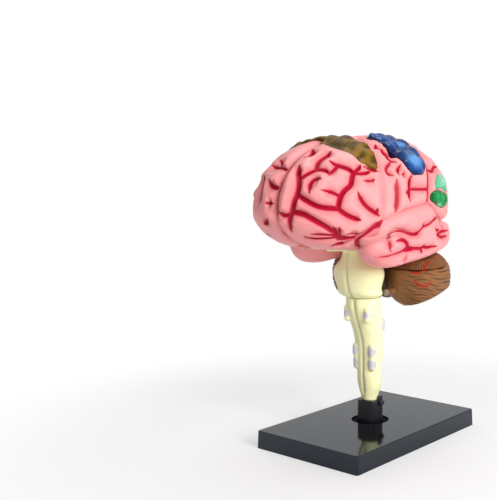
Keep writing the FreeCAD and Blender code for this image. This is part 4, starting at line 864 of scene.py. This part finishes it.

# Acrylic: glossy and coloured all through, deep where it is thick and pale where thin,
# with patches of deeper colour and flow lines left by the casting, and painted shade in the creases
CASTING_PATCH = 9.0
FLOW_LINE = 3.3
clear_finishes = {}
for area, name, low, high, pale, clear in (
        ("motor_area", "clear blue acrylic", "06143C", "0E4896", "6AA4E0", 0.1),
        ("visual_area", "clear mint acrylic", "5CC695", "9DEBC6", "C4F5DF", 0.3),
        ("speech_area", "clear green acrylic", "046B30", "14A052", "7ED9A0", 0.15)):
    finish, shader = new_finish(name, 1.49, 0.12)
    shader.inputs["Specular IOR Level"].default_value = 0.25
    shader.inputs["Transmission Weight"].default_value = clear
    tone = depth_colour(finish, low, high, pale)
    place = add(finish, "ShaderNodeTexCoord")
    patch = add(finish, "ShaderNodeTexNoise", {},
                {"Vector": place.outputs["Object"], "Scale": PER_METRE / CASTING_PATCH, "Detail": 1.0})
    share = add(finish, "ShaderNodeMapRange", {},
                {"Value": patch.outputs["Fac"], "From Min": 0.4, "From Max": 0.6, "To Max": 0.6})
    patched = add(finish, "ShaderNodeMix", {"data_type": "RGBA"},
                  {SHARE: share.outputs["Result"], FROM: tone.outputs[MIXED], TO: linear(low)})
    flow = add(finish, "ShaderNodeTexNoise", {},
               {"Vector": place.outputs["Object"], "Scale": PER_METRE / FLOW_LINE, "Detail": 2.0})
    flow_bump = add(finish, "ShaderNodeBump", {}, {"Height": flow.outputs["Fac"], "Strength": 0.3,
                                                   "Distance": 0.0006})
    feed(finish, shader, Base_Color=patched.outputs[MIXED], Normal=flow_bump.outputs["Normal"])
    clear_finishes[area] = finish

# A point's height over the cerebrum's form: where the open face starts, and where crests do; lower down the
# colour darkens as painted shade
FACE_LEVEL = -1.2
FACE_FADE = 0.9
CREST_LEVEL = -0.3
CREST_FADE = 1.7
OLIVE_CREST = 0.25
OLIVE_CREST_FADE = 0.5

# Thin places of the clear castings: direction from the cerebrum's centre, and reach
THIN_EDGE = 1.6
THIN_TONE = 0.8
THIN_SPOTS = {"premotor_area": [], "motor_area": [((264.8, 36.5), 4.2), ((262, 47.9), 2.0)],
              "visual_area": [((300, 21), 3.0)], "speech_area": [((286, 1), 1.8), ((299, 3.2), 1.8)]}
for area, lobe, slot in (("premotor_area", "frontal", "olive"), ("motor_area", "parietal", "blue"),
                         ("visual_area", "occipital", "mint"), ("speech_area", "occipital", "green")):
    for side in ("left", "right"):
        node = area + "_" + side
        piece = remeshed(node, node + "_casting", AREA_VOXEL, AREA_SMOOTHING)
        places = points_of(piece)[0]
        offset = places - cerebrum.centre
        distance = np.linalg.norm(offset, axis=1)
        rays = offset / distance[:, None]
        rise = distance - cerebrum.radius(rays)
        if area == "premotor_area":
            height = crumpled(places * np.array([1, -1 if side == "right" else 1, 1]))
            face = eased((rise - FACE_LEVEL) / FACE_FADE)
            places = places - rays * (CRUMPLE_DEPTH * (1 - height) * face)[:, None]
            set_points(piece, places)
            # Painted shade in the hide's creases, lighter on its crests
            relief_shade = eased((height - OLIVE_CREST) / OLIVE_CREST_FADE)
        else:
            # Painted shade in the creases between the knobs
            relief_shade = eased((rise - CREST_LEVEL) / CREST_FADE)
        thin = np.zeros(len(places))
        for (azimuth, elevation), reach in THIN_SPOTS[area]:
            spot = cerebrum.surface([(azimuth if side == "left" else 360 - azimuth, elevation)])[0]
            thin = np.maximum(thin, eased(THIN_EDGE - np.linalg.norm(places - spot, axis=1) / reach))
        note(piece, "relief_shade", relief_shade)
        note(piece, "thin", thin * THIN_TONE)
        piece.data.materials.append(clear_finishes.get(area, olive_pvc))
        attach(piece, lobe + "_" + side)
        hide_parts(node)


# Room: a pale sweep of paper under the stand, lit by soft boxes round the camera, which
# stands a little above the plate on the model's front left. The two boxes beside the
# model aren't mirrored, so the plate stays black when it is seen from behind.

FLOOR_HALF = 2.5
bpy.ops.object.select_all(action="DESELECT")
bpy.ops.mesh.primitive_plane_add(size=2 * FLOOR_HALF, location=(0, 0, 0))
floor = bpy.context.active_object
floor.name = "paper_floor"

# Backdrop paper: matt off white, which takes the shadow and turns to plain white far off
paper, shader = new_finish("white backdrop paper", 1.5, 0.85)
shader.inputs["Base Color"].default_value = linear("F4F4F4")
place = add(paper, "ShaderNodeTexCoord")
spread = add(paper, "ShaderNodeVectorMath", {"operation": "LENGTH"}, {0: place.outputs["Object"]})
far = add(paper, "ShaderNodeMapRange", {"interpolation_type": "SMOOTHSTEP"},
          {"Value": spread.outputs["Value"], "From Min": 0.085, "From Max": 0.22, "To Min": 0.45})
ray = add(paper, "ShaderNodeLightPath")
seen = add(paper, "ShaderNodeMath", {"operation": "MULTIPLY"},
           {0: far.outputs["Result"], 1: ray.outputs["Is Camera Ray"]})
white = add(paper, "ShaderNodeEmission", {}, {"Color": (1, 1, 1, 1), "Strength": 1.0})
blend = add(paper, "ShaderNodeMixShader", {}, {0: seen.outputs["Value"], 1: shader.outputs["BSDF"],
                                               2: white.outputs["Emission"]})
surface = paper.node_tree.nodes["Material Output"].inputs["Surface"]
paper.node_tree.links.new(blend.outputs["Shader"], surface)
floor.data.materials.append(paper)

# The room as it lights the model, and as gloss mirrors it; the camera sees it white
ROOM_LIGHT = 0.17
ROOM_MIRRORED = 0.72
world = bpy.data.worlds.new("soft room")
bpy.context.scene.world = world
world.use_nodes = True
background = world.node_tree.nodes["Background"]
background.inputs["Color"].default_value = (1, 1, 1, 1)
light_path = add(world, "ShaderNodeLightPath")
mirrored = add(world, "ShaderNodeMath", {"operation": "MULTIPLY_ADD"},
               {0: light_path.outputs["Is Glossy Ray"], 1: ROOM_MIRRORED - ROOM_LIGHT, 2: ROOM_LIGHT})
level = add(world, "ShaderNodeMath", {"operation": "MAXIMUM"},
            {0: light_path.outputs["Is Camera Ray"], 1: mirrored.outputs["Value"]})
world.node_tree.links.new(level.outputs["Value"], background.inputs["Strength"])

# Soft boxes: (name, place, size, watts, mirrored in gloss), all turned to the model's middle
MIDDLE = Vector((-0.005, 0, 0.08))
SOFT_BOXES = [
    ("key box", (-0.17, -0.72, 0.38), 0.42, 6.9, False),
    ("back box", (0.3, 0.75, 0.35), 0.6, 1.7, False),
    ("fill box", (-0.75, 0.1, 0.3), 0.5, 0.5, True),
    ("top box", (0.1, 0.05, 0.9), 0.45, 2.4, True),
]
for name, spot, size, power, mirrored_in_gloss in SOFT_BOXES:
    lamp = bpy.data.lights.new(name, "AREA")
    lamp.shape = "SQUARE"
    lamp.size = size
    lamp.energy = power
    holder = bpy.data.objects.new(name, lamp)
    holder.location = spot
    holder.visible_glossy = mirrored_in_gloss
    holder.rotation_euler = (MIDDLE - Vector(spot)).to_track_quat("-Z", "Y").to_euler()
    bpy.context.collection.objects.link(holder)

# The camera was solved from the plate's corners: it looks CAMERA_PITCH down
CAMERA_YAW = math.radians(38.28)
CAMERA_PITCH = math.radians(8.14)
CAMERA_PLACE = (-0.28789, -0.22419, 0.11616)
lens = bpy.data.cameras.new("camera")
lens.lens = 58.18
lens.sensor_width = 36
lens.shift_x = -0.233
lens.shift_y = 0.1
lens.clip_start = 0.01
camera = bpy.data.objects.new("camera", lens)
camera.location = CAMERA_PLACE
look = Vector((math.cos(CAMERA_PITCH) * math.cos(CAMERA_YAW), math.cos(CAMERA_PITCH) * math.sin(CAMERA_YAW),
               -math.sin(CAMERA_PITCH)))
camera.rotation_euler = look.to_track_quat("-Z", "Y").to_euler()
bpy.context.collection.objects.link(camera)
bpy.context.scene.camera = camera
bpy.context.scene.view_settings.view_transform = "Standard"
